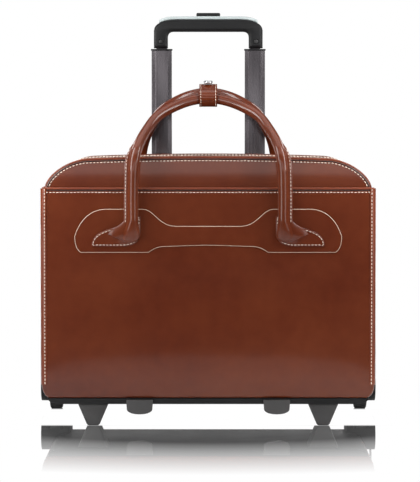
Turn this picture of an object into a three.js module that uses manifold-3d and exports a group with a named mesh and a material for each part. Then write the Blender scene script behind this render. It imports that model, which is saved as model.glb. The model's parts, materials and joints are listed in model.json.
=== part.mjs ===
// Rolling laptop case: a leather business case with a hinged front, two carry handles, a two-stage
// pull handle behind it and two rear wheels.
// Millimetres, +X to the right, +Y to the back, +Z up. The origin is on the floor, under the middle.

import * as THREE from "three";
import { mergeVertices } from "three/addons/utils/BufferGeometryUtils.js";
import Module from "manifold-3d";

const wasm = await Module();
wasm.setup();

// ---- Driving dimensions: clearances ----
const gap = 0.3; // between pieces that touch
const slideGap = 0.4; // each side, between telescoping tubes
const runGap = 0.5; // round a turning or moving piece

// ---- Driving dimensions: leather body ----
const caseWidth = 420;
const caseBottom = 37; // lower edge of the leather, above the floor
const caseHeight = 305; // lower edge to the crown of the top
const caseDepth = 156; // outside faces of the front and rear panels
const crown = 3; // rise of the top between its corners
const topCornerWide = 58;
const topCornerHigh = 37;
const bottomCornerWide = 10;
const bottomCornerHigh = 18;
const panelThick = 4;
const gussetThick = 3;
const bottomRise = 19; // how far the bottom panel turns up the sides
const zipWidth = 12; // both tapes
const zipThick = 1.6;
const zipInset = 0.8; // tapes lie this far inside the leather

// ---- Driving dimensions: front pocket ----
const pocketDrop = 40; // top edge, below the crown
const pocketSpace = 6; // room inside the pocket
const pocketThick = 3;
const pocketCorner = 4;
const overlayThick = 1.2;
const tabThick = 2.4;

// ---- Driving dimensions: carry handles ----
const handleRadius = 6.7;
const pivotDrop = 80; // a handle leg leaves its tab this far below the crown
const archRise = 74; // middle of the front handle's arch, above the crown
const rearHandleLift = 7; // the rear arch stands this much higher
const archGap = 0.6; // between the two arches at the top, seen from the side
const frontLegX = 94;
const rearLegClear = 10; // from the trolley cover to the middle of a rear leg
const strapWidth = 23;
const strapThick = 2;
const strapRoom = 2.6;
const snapRadius = 6;
const snapHigh = 4;

// ---- Driving dimensions: base ----
const trayDrop = 8; // the tray hangs this far below the leather
const trayTopHalf = 203;
const trayBottomHalf = 186;
const trayWall = 2.5;
const trayFront = 2; // the tray stands this far in front of the front panel
const footX = 146;
const footTopWidth = 39.5;
const footBottomWidth = 18.4;
const footDeep = 34;
const footSetBack = 8;
const clipX = 86.6;
const clipWidth = 34;
const clipHigh = 18.5;
const clipThick = 4;
const clipTop = 35;

// ---- Driving dimensions: wheels ----
const wheelRadius = 25;
const wheelWidth = 16;
const wheelInset = 6.5; // middle of the wheel, inside the case's side
const wheelSetIn = 3; // axle, in front of the rear face
const tyreThick = 7;
const bearingRadius = 7;
const axleRadius = 3;
const housingHalf = 19; // half the housing's width across the wheel
const housingWall = 2;
const housingLow = 12;
const housingRound = 20;
const wheelRoom = 2; // round the wheel

// ---- Driving dimensions: pull handle ----
const tubeX = 62.5;
const tubeClear = 1; // between the sleeves and what is round them
const middleWide = 27;
const middleWingDeep = 8;
const bulgeWide = 17.2;
const middleDeep = 14;
const tubeWall = 1;
const sleeveExtra = 4; // a sleeve is this much larger than the stage in it
const sleeveDrop = 5; // top of the sleeves, below the crown
const stageOut = 138; // the first stage stands this far above the crown
const middleLength = 298;
const collarThick = 2;
const collarLip = 0.8;
const innerLength = 296;
const gripDeep = 22;
const gripHalf = 72.8;
const legWide = 18.5;
const legClear = 3.5; // between the first stage and the grip's legs
const legHigh = 22;
const barHeight = 16;
const gripShoulder = 24; // how far in from the side the corner curve ends
const socketDeep = 17;
const insertThick = 4.4;
const insertHalf = 66;
const insertInset = 3;
const buttonLong = 32;
const buttonWide = 11;
const buttonProud = 4.6; // above the insert
const barLong = 123; // bar that carries the two rods
const barDeep = 8;
const barThick = 3;
const rodRadius = 1.5;
const rodLength = 300;
const pressTravel = 3;
const rodInset = 3.5; // a rod runs this far inside its tube's middle
const springRadius = 5;

// ---- Driving dimensions: trolley housing and inside ----
const coverThick = 2;
const coverRoomBehind = 2;
const bezelThick = 4;
const sleeveSpace = 23; // room for the laptop
const sleevePanel = 6;
const laptopHalf = 185;
const laptopHigh = 230;
const organiserHalf = 170;
const organiserHigh = 140;
const organiserSpace = 10;

// ---- Places worked out from the sizes ----
const caseTop = caseBottom + caseHeight;
const half = caseWidth / 2;
const frontFace = -caseDepth / 2;
const rearFace = caseDepth / 2;
const frontInside = frontFace + panelThick;
const rearInside = rearFace - panelThick;
const pocketTop = caseTop - pocketDrop;
const pocketBack = frontFace - pocketSpace;
const pocketFace = pocketBack - pocketThick;
const overlayFace = pocketFace - gap - overlayThick;
const tabFace = overlayFace - gap - tabThick;
const rearTabFace = rearFace + gap + tabThick;
const frontLegY = tabFace - runGap - handleRadius;
const rearLegY = rearTabFace + runGap + handleRadius;
const handlePivot = caseTop - pivotDrop;
const handleTop = caseTop + archRise;
const handleLean = handleRadius + archGap / 2;
const trayBottom = caseBottom - trayDrop;
const sleeveBottom = caseBottom + 5;
const sleeveTop = caseTop - sleeveDrop;
const sleeveWide = middleWide + sleeveExtra;
const sleeveDeep = middleDeep + sleeveExtra;
const tubeY = rearFace + tubeClear + sleeveDeep / 2;
const coverHalf = tubeX + sleeveWide / 2 + tubeClear + coverThick;
const coverDeep = tubeClear + sleeveDeep + coverRoomBehind + coverThick;
const rearLegX = coverHalf + rearLegClear;
const middleTop = caseTop + stageOut;
const legBottom = middleTop + legClear;
const barUnder = legBottom + legHigh;
const barTop = barUnder + barHeight;
const wheelX = half - wheelInset;
const wheelY = rearFace - wheelSetIn;
const rimRadius = wheelRadius - tyreThick;
const housingDeep = 2 * (wheelRadius + wheelRoom + housingWall);
const housingHigh = 2 * wheelRadius + wheelRoom + housingWall;
const gripMiddle = gripHalf - legWide / 2;
const rodX = tubeX - rodInset;

// ---- Materials ----
const finish = (color, roughness, metalness) =>
  new THREE.MeshStandardMaterial({ color, roughness, metalness });
const leather = finish(0x8a4022, 0.32, 0);
const lining = finish(0x33302f, 0.9, 0);
const blackPlastic = finish(0x161616, 0.5, 0);
const greyPlastic = finish(0x464848, 0.5, 0);
const paleInsert = finish(0xc4c9c9, 0.4, 0);
const gunmetal = finish(0x6d666c, 0.3, 1);
const steel = finish(0xc9c9cc, 0.2, 1);
const rubber = finish(0x141414, 0.85, 0);
const tapeCloth = finish(0x101010, 0.9, 0);

// ---- Solids ----
function solid(geometry) {
  const bare = geometry.clone();
  bare.deleteAttribute("normal");
  bare.deleteAttribute("uv");
  const merged = mergeVertices(bare, 1e-4);
  return new wasm.Manifold(new wasm.Mesh({
    numProp: 3,
    vertProperties: Float32Array.from(merged.attributes.position.array),
    triVerts: Uint32Array.from(merged.index.array),
  }));
}

function geometryOf(manifold) {
  const mesh = manifold.getMesh();
  const geometry = new THREE.BufferGeometry();
  geometry.setAttribute("position", new THREE.BufferAttribute(Float32Array.from(mesh.vertProperties), 3));
  geometry.setIndex(new THREE.BufferAttribute(Uint32Array.from(mesh.triVerts), 1));
  geometry.computeVertexNormals();
  return geometry;
}

// A box from its lowest corner to its highest.
function block(low, high) {
  const size = high.map((value, axis) => value - low[axis]);
  const middle = high.map((value, axis) => (value + low[axis]) / 2);
  return solid(new THREE.BoxGeometry(...size).translate(...middle));
}

// An outline in X and Z, made thick along Y from one place to another.
function slab(shape, fromY, toY, curveSegments = 8) {
  const geometry = new THREE.ExtrudeGeometry(shape, { depth: toY - fromY, bevelEnabled: false, curveSegments });
  return solid(geometry.rotateX(Math.PI / 2).translate(0, toY, 0));
}

// An outline in X and Y, made tall along Z.
function column(shape, fromZ, toZ, curveSegments = 4) {
  const geometry = new THREE.ExtrudeGeometry(shape, { depth: toZ - fromZ, bevelEnabled: false, curveSegments });
  return solid(geometry.translate(0, 0, fromZ));
}

// An outline in Y and Z, made wide along X.
function bar(shape, fromX, toX, curveSegments = 6) {
  const geometry = new THREE.ExtrudeGeometry(shape, { depth: toX - fromX, bevelEnabled: false, curveSegments });
  return solid(geometry.rotateZ(Math.PI / 2).rotateY(Math.PI / 2).translate(fromX, 0, 0));
}

// A round bar along an axis ("x", "y" or "z") about a middle point.
function round(radius, length, middle, axis, sides = 24) {
  const geometry = new THREE.CylinderGeometry(radius, radius, length, sides);
  if (axis === "x") geometry.rotateZ(Math.PI / 2);
  if (axis === "z") geometry.rotateX(Math.PI / 2);
  return solid(geometry.translate(...middle));
}

function roundedBox(wide, high, radius, centreX = 0, centreY = 0) {
  const shape = new THREE.Shape();
  const x = wide / 2;
  const y = high / 2;
  shape.moveTo(centreX - x + radius, centreY - y);
  shape.lineTo(centreX + x - radius, centreY - y);
  shape.absarc(centreX + x - radius, centreY - y + radius, radius, -Math.PI / 2, 0);
  shape.lineTo(centreX + x, centreY + y - radius);
  shape.absarc(centreX + x - radius, centreY + y - radius, radius, 0, Math.PI / 2);
  shape.lineTo(centreX - x + radius, centreY + y);
  shape.absarc(centreX - x + radius, centreY + y - radius, radius, Math.PI / 2, Math.PI);
  shape.lineTo(centreX - x, centreY - y + radius);
  shape.absarc(centreX - x + radius, centreY - y + radius, radius, Math.PI, Math.PI * 1.5);
  return shape;
}

// ---- The model ----
const model = new THREE.Group();

function place(name, manifold, material) {
  const mesh = new THREE.Mesh(geometryOf(manifold), material);
  mesh.name = name;
  model.add(mesh);
}

const sides = [["left", -1], ["right", 1]];
const mirrored = (manifold, side) => (side < 0 ? manifold : manifold.mirror([1, 0, 0]));

// The case's outline from the front, drawn a little smaller by the inset.
function caseOutline(inset) {
  const x = half - inset;
  const low = caseBottom + inset;
  const shoulder = caseTop - crown - inset;
  const wide = topCornerWide - inset;
  const high = topCornerHigh - inset;
  const footWide = bottomCornerWide - inset;
  const footHigh = bottomCornerHigh - inset;
  const shape = new THREE.Shape();
  shape.moveTo(-x + footWide, low);
  shape.lineTo(x - footWide, low);
  shape.absellipse(x - footWide, low + footHigh, footWide, footHigh, -Math.PI / 2, 0);
  shape.lineTo(x, shoulder - high);
  shape.absellipse(x - wide, shoulder - high, wide, high, 0, Math.PI / 2);
  shape.quadraticCurveTo(0, shoulder + 2 * crown, -x + wide, shoulder);
  shape.absellipse(-x + wide, shoulder - high, wide, high, Math.PI / 2, Math.PI);
  shape.lineTo(-x, low + footHigh);
  shape.absellipse(-x + footWide, low + footHigh, footWide, footHigh, Math.PI, Math.PI * 1.5);
  return shape;
}

// The band of leather or tape between two insets of the outline.
function caseBand(outer, thick, fromY, toY) {
  const inside = slab(caseOutline(outer + thick), fromY - 1, toY + 1);
  return slab(caseOutline(outer), fromY, toY).subtract(inside);
}

// What a wheel housing takes out of the case's lower rear corners.
const housingWell = block(
  [wheelX - housingHalf - gap, wheelY - housingDeep / 2 - gap, 0],
  [half + 40, wheelY + housingDeep, housingHigh + gap],
);
const wells = housingWell.add(housingWell.mirror([1, 0, 0]));

const splitHeight = caseBottom + bottomRise;
const aboveSplit = block([-half - 9, -caseDepth, splitHeight + gap], [half + 9, caseDepth, caseTop + 9]);
const belowSplit = block([-half - 9, -caseDepth, caseBottom - 9], [half + 9, caseDepth, splitHeight]);

// ---- Body: rear half, bottom and lining ----
place("rear_panel", slab(caseOutline(0), rearInside, rearFace).subtract(wells), leather);
const rearBand = caseBand(0, gussetThick, zipWidth / 2 + gap, rearInside - gap);
place("rear_gusset", rearBand.intersect(aboveSplit).subtract(wells), leather);
const bottomBand = caseBand(0, gussetThick, frontInside + gap, rearInside - gap);
place("bottom_panel", bottomBand.intersect(belowSplit).subtract(wells), leather);

const laptopBack = rearInside - gap;
const laptopFront = laptopBack - sleeveSpace - sleevePanel;
const laptopBottom = splitHeight + 1;
const laptopTop = laptopBottom + laptopHigh;
const sleeveBlock = block([-laptopHalf, laptopFront, laptopBottom], [laptopHalf, laptopBack, laptopTop]);
const sleeveRoomBox = block(
  [-laptopHalf + sleevePanel, laptopFront + sleevePanel, laptopBottom + sleevePanel],
  [laptopHalf - sleevePanel, laptopBack + 1, laptopTop + 1],
);
place("laptop_sleeve", sleeveBlock.subtract(sleeveRoomBox).subtract(wells), lining);

// ---- Body: hinged front half ----
place("front_panel", slab(caseOutline(0), frontFace, frontInside), leather);
const frontBand = caseBand(0, gussetThick, frontInside + gap, -zipWidth / 2 - gap);
place("front_gusset", frontBand.intersect(aboveSplit), leather);

const organiserBack = frontInside + gap;
const organiserFace = organiserBack + organiserSpace + 2;
const organiserLow = splitHeight + 4;
const organiserBlock = block(
  [-organiserHalf, organiserBack, organiserLow],
  [organiserHalf, organiserFace, organiserLow + organiserHigh],
);
const organiserRoom = block(
  [-organiserHalf + 2, organiserBack - 1, organiserLow + 2],
  [organiserHalf - 2, organiserFace - 2, organiserLow + organiserHigh + 1],
);
place("organiser_pocket", organiserBlock.subtract(organiserRoom), lining);

// Zip tapes meet along the middle of the gusset.
const rearTape = caseBand(zipInset, zipThick, gap / 2, zipWidth / 2);
place("zip_tape_rear", rearTape.intersect(aboveSplit), tapeCloth);
const frontTape = caseBand(zipInset, zipThick, -zipWidth / 2, -gap / 2);
place("zip_tape_front", frontTape.intersect(aboveSplit), tapeCloth);

// The front pocket: a face panel with a rim that reaches back to the front panel.
const pocketHeight = pocketTop - caseBottom;
const pocketOutline = roundedBox(caseWidth, pocketHeight, pocketCorner, 0, caseBottom + pocketHeight / 2);
const pocketRoom = block(
  [-half + pocketThick, pocketBack, caseBottom + pocketThick],
  [half - pocketThick, frontFace + 1, pocketTop + 1],
);
place("pocket_panel", slab(pocketOutline, pocketFace, frontFace - gap, 4).subtract(pocketRoom), leather);

// ---- Stitched overlay and handle tabs on the pocket ----
const overlayLow = handlePivot - 40;
const overlayHalf = 167.5;
const overlayWaist = 40;
const overlayHigh = 54;

function overlayOutline() {
  const waistLow = overlayLow + 7.5;
  const waistHigh = overlayLow + overlayWaist - 4;
  const top = overlayLow + overlayHigh;
  const shape = new THREE.Shape();
  shape.moveTo(-75, overlayLow);
  shape.lineTo(-160, overlayLow);
  shape.quadraticCurveTo(-overlayHalf, overlayLow + 5, -overlayHalf, overlayLow + 20);
  shape.bezierCurveTo(-162, top - 16, -150, top - 1, -130, top);
  shape.lineTo(-82, top);
  shape.bezierCurveTo(-68, top, -62, waistHigh, -41, waistHigh);
  shape.lineTo(41, waistHigh);
  shape.bezierCurveTo(62, waistHigh, 68, top, 82, top);
  shape.lineTo(130, top);
  shape.bezierCurveTo(150, top - 1, 162, top - 16, overlayHalf, overlayLow + 20);
  shape.quadraticCurveTo(overlayHalf, overlayLow + 5, 160, overlayLow);
  shape.lineTo(75, overlayLow);
  shape.quadraticCurveTo(66, waistLow, 52, waistLow);
  shape.lineTo(-52, waistLow);
  shape.quadraticCurveTo(-66, waistLow, -75, overlayLow);
  return shape;
}
place("overlay", slab(overlayOutline(), overlayFace, pocketFace - gap, 5), leather);

// A tab is shoe-shaped: its toe points outwards and the handle leg rises from its heel.
const tabLow = handlePivot - 32.5;
function tabOutline(legX) {
  const shape = new THREE.Shape();
  shape.moveTo(-legX + 9, tabLow + 6);
  shape.quadraticCurveTo(-legX + 4, tabLow, -legX - 10, tabLow);
  shape.lineTo(-legX - 45, tabLow);
  shape.quadraticCurveTo(-legX - 53, tabLow + 2, -legX - 52, tabLow + 9);
  shape.bezierCurveTo(-legX - 48, tabLow + 20, -legX - 36, tabLow + 22, -legX - 26, tabLow + 24);
  shape.quadraticCurveTo(-legX - 12, tabLow + 27, -legX - 9, tabLow + 38);
  shape.lineTo(-legX + 9, tabLow + 38);
  return shape;
}

// The rolled leather swells into the tab below the leg.
function tab(legX, fromY, toY, outward) {
  const swell = new THREE.SphereGeometry(1, 14, 8).scale(13, 7, 12);
  const face = outward < 0 ? fromY : toY;
  const boss = solid(swell.translate(-legX - 6, face, handlePivot - 19));
  const wide = [-legX - 70, -legX + 40];
  const keep = outward < 0
    ? block([wide[0], fromY - 20, 0], [wide[1], toY, caseTop])
    : block([wide[0], fromY, 0], [wide[1], toY + 20, caseTop]);
  return slab(tabOutline(legX), fromY, toY, 5).add(boss.intersect(keep));
}

for (const [side, sign] of sides) {
  const frontTab = tab(frontLegX, tabFace, overlayFace - gap, -1);
  place(`front_tab_${side}`, mirrored(frontTab, sign), leather);
  const rearTab = tab(rearLegX, rearFace + gap, rearTabFace, 1);
  place(`rear_tab_${side}`, mirrored(rearTab, sign), leather);
}

// ---- Carry handles ----
// Half an arch: how far out, how far up (as a share of the rise) and how far back each point is.
function handleCurve(legX, legY, topZ) {
  const rise = topZ - handlePivot;
  const lean = Math.abs(legY) - handleLean;
  const steps = [
    [0, 0, 0], [0, 0.25, 0], [0.01, 0.44, 0.01], [0.035, 0.54, 0.05], [0.09, 0.64, 0.21],
    [0.18, 0.74, 0.43], [0.31, 0.845, 0.63], [0.52, 0.925, 0.81], [0.76, 0.98, 0.94], [1, 1, 1],
  ];
  const halfArch = steps.map(([across, up, back]) => new THREE.Vector3(
    -legX * (1 - across),
    Math.sign(legY) * (Math.abs(legY) - lean * back),
    handlePivot + rise * up,
  ));
  const otherHalf = halfArch.slice(0, -1).reverse().map((p) => new THREE.Vector3(-p.x, p.y, p.z));
  return new THREE.CatmullRomCurve3([...halfArch, ...otherHalf], false, "centripetal");
}

function handle(curve) {
  const section = new THREE.Shape().absarc(0, 0, handleRadius, 0, Math.PI * 2);
  const options = { steps: 44, curveSegments: 6, bevelEnabled: false, extrudePath: curve };
  return solid(new THREE.ExtrudeGeometry(section, options));
}

const rearTop = handleTop + rearHandleLift;
place("front_handle", handle(handleCurve(frontLegX, frontLegY, handleTop)), leather);
place("rear_handle", handle(handleCurve(rearLegX, rearLegY, rearTop)), leather);

// ---- Strap round both arches ----
function loopOutline(offset) {
  const radius = handleRadius + offset;
  const slope = Math.atan2(rearHandleLift, 2 * handleLean);
  const shape = new THREE.Shape();
  shape.absarc(-handleLean, handleTop, radius, slope + Math.PI / 2, slope + Math.PI * 1.5);
  shape.absarc(handleLean, rearTop, radius, slope - Math.PI / 2, slope + Math.PI / 2);
  return shape;
}
const strapHalf = strapWidth / 2;
const strapHole = bar(loopOutline(strapRoom), -strapHalf - 1, strapHalf + 1, 8);
const strapLoop = bar(loopOutline(strapRoom + strapThick), -strapHalf, strapHalf, 8).subtract(strapHole);

// The flap is what lies above a slanting cut from the low front to the high back.
const cutLow = [-handleLean - handleRadius - 8, handleTop - handleRadius - 1];
const cutHigh = [handleLean + 8, rearTop + handleRadius + 8];
function strapCut(shift) {
  const shape = new THREE.Shape();
  shape.moveTo(cutLow[0], cutLow[1] + shift);
  shape.lineTo(cutHigh[0], cutHigh[1] + shift);
  shape.lineTo(cutHigh[0], cutHigh[1] + 30);
  shape.lineTo(cutLow[0] - 20, cutHigh[1] + 30);
  shape.lineTo(cutLow[0] - 20, cutLow[1] + shift);
  return bar(shape, -strapHalf - 2, strapHalf + 2);
}
place("strap_band", strapLoop.subtract(strapCut(-gap)), leather);
place("strap_flap", strapLoop.intersect(strapCut(gap)), leather);
const strapTop = rearTop + handleRadius + strapRoom + strapThick;
const snapCentre = [0, handleLean - 4, strapTop + snapHigh / 2 + gap];
place("snap_cap", round(snapRadius, snapHigh, snapCentre, "z", 20), steel);

// ---- Base tray, clips and front feet ----
const trayOutline = new THREE.Shape();
trayOutline.moveTo(-trayBottomHalf, trayBottom);
trayOutline.lineTo(trayBottomHalf, trayBottom);
trayOutline.quadraticCurveTo(trayTopHalf, trayBottom + 1, trayTopHalf, caseBottom - gap);
trayOutline.lineTo(-trayTopHalf, caseBottom - gap);
trayOutline.quadraticCurveTo(-trayTopHalf, trayBottom + 1, -trayBottomHalf, trayBottom);
const trayRoom = block(
  [-trayBottomHalf, frontFace + trayWall, trayBottom + trayWall],
  [trayBottomHalf, rearFace - trayWall, caseBottom],
);
const traySolid = slab(trayOutline, frontFace - trayFront, rearFace).subtract(trayRoom);
place("base_tray", traySolid.subtract(wells), blackPlastic);

function footOutline() {
  const low = footBottomWidth / 2;
  const shape = new THREE.Shape();
  shape.moveTo(-low + 4, 0);
  shape.lineTo(low - 4, 0);
  shape.quadraticCurveTo(low - 1, 0.5, low, 4);
  shape.lineTo(footTopWidth / 2, trayBottom - gap);
  shape.lineTo(-footTopWidth / 2, trayBottom - gap);
  shape.lineTo(-low, 4);
  shape.quadraticCurveTo(-low + 1, 0.5, -low + 4, 0);
  return shape;
}

function clipOutline() {
  const shape = new THREE.Shape();
  const low = clipTop - clipHigh;
  shape.moveTo(-clipWidth / 2, clipTop);
  shape.lineTo(-clipWidth / 2 + 1, low + 5);
  shape.quadraticCurveTo(-clipWidth / 2 + 5, low, 0, low);
  shape.quadraticCurveTo(clipWidth / 2 - 5, low, clipWidth / 2 - 1, low + 5);
  shape.lineTo(clipWidth / 2, clipTop);
  return shape;
}

const footFront = frontFace + footSetBack;
const clipBack = frontFace - trayFront - gap;
for (const [side, sign] of sides) {
  const foot = slab(footOutline(), footFront, footFront + footDeep, 3);
  place(`front_foot_${side}`, foot.translate([sign * footX, 0, 0]), greyPlastic);
  const clip = slab(clipOutline(), clipBack - clipThick, clipBack, 4);
  place(`base_clip_${side}`, clip.translate([sign * clipX, 0, 0]), greyPlastic);
}

// ---- Wheels in their housings ----
const housingTall = housingHigh - housingLow;
const housingShape = roundedBox(housingDeep, housingTall, housingRound, wheelY, housingLow + housingTall / 2);
const slotHalf = wheelWidth / 2 + wheelRoom;
const hub = [0, wheelY, wheelRadius];

function ring(outer, inner, width, sidesCount) {
  return round(outer, width, hub, "x", sidesCount).subtract(round(inner, width + 2, hub, "x", sidesCount));
}

for (const [side, sign] of sides) {
  const away = [sign * wheelX, 0, 0];
  const slot = round(wheelRadius + wheelRoom, 2 * slotHalf, hub, "x", 40);
  const bore = round(axleRadius + gap, 2 * housingHalf + 2, hub, "x", 20);
  const housing = bar(housingShape, -housingHalf, housingHalf, 5).subtract(slot).subtract(bore);
  place(`wheel_housing_${side}`, housing.translate(away), blackPlastic);
  place(`axle_pin_${side}`, round(axleRadius, 2 * housingHalf - 1, hub, "x", 20).translate(away), steel);
  place(`wheel_tyre_${side}`, ring(wheelRadius, rimRadius + gap, wheelWidth, 40).translate(away), rubber);
  const core = ring(rimRadius, bearingRadius + gap, wheelWidth - 1, 32);
  place(`wheel_core_${side}`, core.translate(away), greyPlastic);
  const bearing = ring(bearingRadius, axleRadius + gap, wheelWidth, 20);
  place(`wheel_bearing_${side}`, bearing.translate(away), steel);
}

// ---- Trolley: fixed sleeves, cover, bezel and bracket ----
// A stage's section is a bulge between two wings.
function stageOutline(extra) {
  const wing = middleWide / 2 + extra;
  const wingDeep = middleWingDeep / 2 + extra;
  const bulge = bulgeWide / 2 + extra;
  const deep = middleDeep / 2 + extra;
  const quarter = [[wing, wingDeep], [bulge, wingDeep], [bulge, deep]];
  const flipped = ([x, y]) => [-x, y];
  const upper = [...quarter, ...quarter.map(flipped).reverse()];
  const lower = upper.map(([x, y]) => [-x, -y]);
  return new THREE.Shape([...upper, ...lower].map(([x, y]) => new THREE.Vector2(x, y)));
}

function tube(outer, hole, fromZ, toZ) {
  return column(outer, fromZ, toZ).subtract(column(hole, fromZ - 1, toZ + 1));
}

const innerWide = bulgeWide - 2 * (tubeWall + slideGap);
const innerDeep = middleDeep - 2 * (tubeWall + slideGap);
const middleHole = roundedBox(bulgeWide - 2 * tubeWall, middleDeep - 2 * tubeWall, 0.8);
const innerSection = roundedBox(innerWide, innerDeep, 1);
const innerHole = roundedBox(innerWide - 2 * tubeWall, innerDeep - 2 * tubeWall, 0.5);
const innerTop = legBottom + socketDeep - gap;
const collarBottom = middleTop + gap;
const coverTop = sleeveTop + gap + bezelThick;
const coverInside = [coverHalf - coverThick - gap, rearFace + coverDeep - coverThick - gap];

for (const [side, sign] of sides) {
  const away = [sign * tubeX, tubeY, 0];
  const sleeve = tube(roundedBox(sleeveWide, sleeveDeep, 1.5), stageOutline(slideGap), sleeveBottom, sleeveTop);
  place(`sleeve_tube_${side}`, sleeve.translate(away), gunmetal);
  const middle = tube(stageOutline(0), middleHole, middleTop - middleLength, middleTop);
  place(`middle_tube_${side}`, middle.translate(away), gunmetal);
  const collarHole = roundedBox(innerWide + 2 * slideGap, innerDeep + 2 * slideGap, 1);
  const collar = tube(stageOutline(collarLip), collarHole, collarBottom, collarBottom + collarThick);
  place(`collar_${side}`, collar.translate(away), blackPlastic);
  const inner = tube(innerSection, innerHole, innerTop - innerLength, innerTop);
  place(`inner_tube_${side}`, inner.translate(away), gunmetal);
}

const coverOuter = block(
  [-coverHalf, rearFace + gap, sleeveBottom - 8],
  [coverHalf, rearFace + coverDeep, coverTop],
);
const coverRoom = block(
  [-coverHalf + coverThick, rearFace, sleeveBottom - 9],
  [coverHalf - coverThick, rearFace + coverDeep - coverThick, coverTop + 1],
);
place("trolley_cover", coverOuter.subtract(coverRoom), leather);

const plateLow = [-coverInside[0], rearFace + 2 * gap];
const bezelPlate = block([...plateLow, sleeveTop + gap], [...coverInside, coverTop]);
const stageHoles = sides.map(([, sign]) =>
  column(stageOutline(runGap + collarLip), sleeveTop, coverTop + 1).translate([sign * tubeX, tubeY, 0]));
place("tube_bezel", bezelPlate.subtract(stageHoles[0]).subtract(stageHoles[1]), blackPlastic);
const bracketPlate = block([...plateLow, sleeveBottom - 6], [...coverInside, sleeveBottom - gap]);
place("tube_bracket", bracketPlate, greyPlastic);

// ---- Grip ----
const gripBend = barUnder + 1;
const legInside = gripHalf - legWide;
const shoulderX = gripHalf - gripShoulder;
const gripShape = new THREE.Shape();
gripShape.moveTo(-gripHalf, legBottom);
gripShape.lineTo(-gripHalf, gripBend);
gripShape.bezierCurveTo(-gripHalf, barTop - 4, -shoulderX - 8, barTop, -shoulderX + 6, barTop);
gripShape.lineTo(shoulderX - 6, barTop);
gripShape.bezierCurveTo(shoulderX + 8, barTop, gripHalf, barTop - 4, gripHalf, gripBend);
gripShape.lineTo(gripHalf, legBottom);
gripShape.lineTo(legInside, legBottom);
gripShape.lineTo(legInside, barUnder - 8);
gripShape.quadraticCurveTo(legInside, barUnder, legInside - 8, barUnder);
gripShape.lineTo(-legInside + 8, barUnder);
gripShape.quadraticCurveTo(-legInside, barUnder, -legInside, barUnder - 8);
gripShape.lineTo(-legInside, legBottom);

const gripFront = tubeY - gripDeep / 2;
const gripBack = tubeY + gripDeep / 2;
const gripBlank = slab(gripShape, gripFront, gripBack, 6);
const hollowHalf = barLong / 2 + 1;
const hollowFloor = barUnder + 2.5;
const barLow = hollowFloor + pressTravel + 1;
const barHigh = barLow + barThick;
const hollowTop = barHigh + runGap;
const gripHollow = block(
  [-hollowHalf, tubeY - barDeep / 2 - 1, hollowFloor],
  [hollowHalf, tubeY + barDeep / 2 + 1, hollowTop],
);
const buttonSlot = block(
  [-buttonLong / 2 - runGap, tubeY - buttonWide / 2 - runGap, barHigh - pressTravel - runGap],
  [buttonLong / 2 + runGap, tubeY + buttonWide / 2 + runGap, barTop + 20],
);
const screwHeight = legBottom + 8.5;
const headRadius = 2.9;
const headDeep = 2;
const recessDeep = 3;
const shankRadius = 1.4;
const shankDeep = gripDeep / 2 - innerDeep / 2 - recessDeep - gap;

let gripBody = gripBlank.subtract(gripHollow).subtract(buttonSlot);
for (const [, sign] of sides) {
  const socketSection = roundedBox(innerWide + 2 * gap, innerDeep + 2 * gap, 1);
  const socket = column(socketSection, legBottom - 1, legBottom + socketDeep);
  const rodBore = round(rodRadius + runGap, 30, [sign * rodX, tubeY, hollowFloor - 12], "z", 14);
  const recess = round(headRadius + gap, recessDeep * 2, [sign * gripMiddle, gripFront, screwHeight], "y", 16);
  const shankBore = round(shankRadius + gap, gripDeep, [sign * gripMiddle, gripFront, screwHeight], "y", 12);
  gripBody = gripBody.subtract(socket.translate([sign * tubeX, tubeY, 0]));
  gripBody = gripBody.subtract(rodBore).subtract(recess).subtract(shankBore);
}
place("grip_body", gripBody, blackPlastic);

// The pale insert is a strip over the top that thins out round the corners.
const insertRange = block(
  [-insertHalf, gripFront + insertInset, barUnder],
  [insertHalf, gripBack - insertInset, barTop + insertThick + 1],
);
const insertRaised = gripBlank.translate([0, 0, insertThick]).intersect(insertRange);
const insert = insertRaised.subtract(gripBlank.translate([0, 0, gap])).subtract(buttonSlot);
place("grip_insert", insert, paleInsert);

for (const [side, sign] of sides) {
  const headMiddle = gripFront + recessDeep - headDeep / 2;
  const shankMiddle = gripFront + recessDeep + shankDeep / 2 - gap;
  const screwHead = round(headRadius, headDeep, [sign * gripMiddle, headMiddle, screwHeight], "y", 16);
  const shank = round(shankRadius, shankDeep, [sign * gripMiddle, shankMiddle, screwHeight], "y", 12);
  place(`grip_screw_${side}`, screwHead.translate([0, -gap, 0]).add(shank), steel);
}

// ---- Release: button, bar and rods that unlock the stages ----
const buttonTop = barTop + insertThick + buttonProud;
const buttonLow = [-buttonLong / 2, tubeY - buttonWide / 2, barHigh + gap];
place("release_button", block(buttonLow, [buttonLong / 2, tubeY + buttonWide / 2, buttonTop]), blackPlastic);
const releaseBar = block(
  [-barLong / 2, tubeY - barDeep / 2, barLow],
  [barLong / 2, tubeY + barDeep / 2, barHigh],
);
place("release_bar", releaseBar, greyPlastic);
for (const [side, sign] of sides) {
  const rodMiddle = [sign * rodX, tubeY, barLow - gap - rodLength / 2];
  place(`release_rod_${side}`, round(rodRadius, rodLength, rodMiddle, "z", 12), steel);
}
const springHigh = barLow - hollowFloor - 2 * gap;
const springMiddle = [0, tubeY, hollowFloor + gap + springHigh / 2];
const springHole = round(springRadius - 1.2, springHigh + 2, springMiddle, "z", 16);
const spring = round(springRadius - 0.4, springHigh, springMiddle, "z", 16).subtract(springHole);
place("release_spring", spring, steel);

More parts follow.
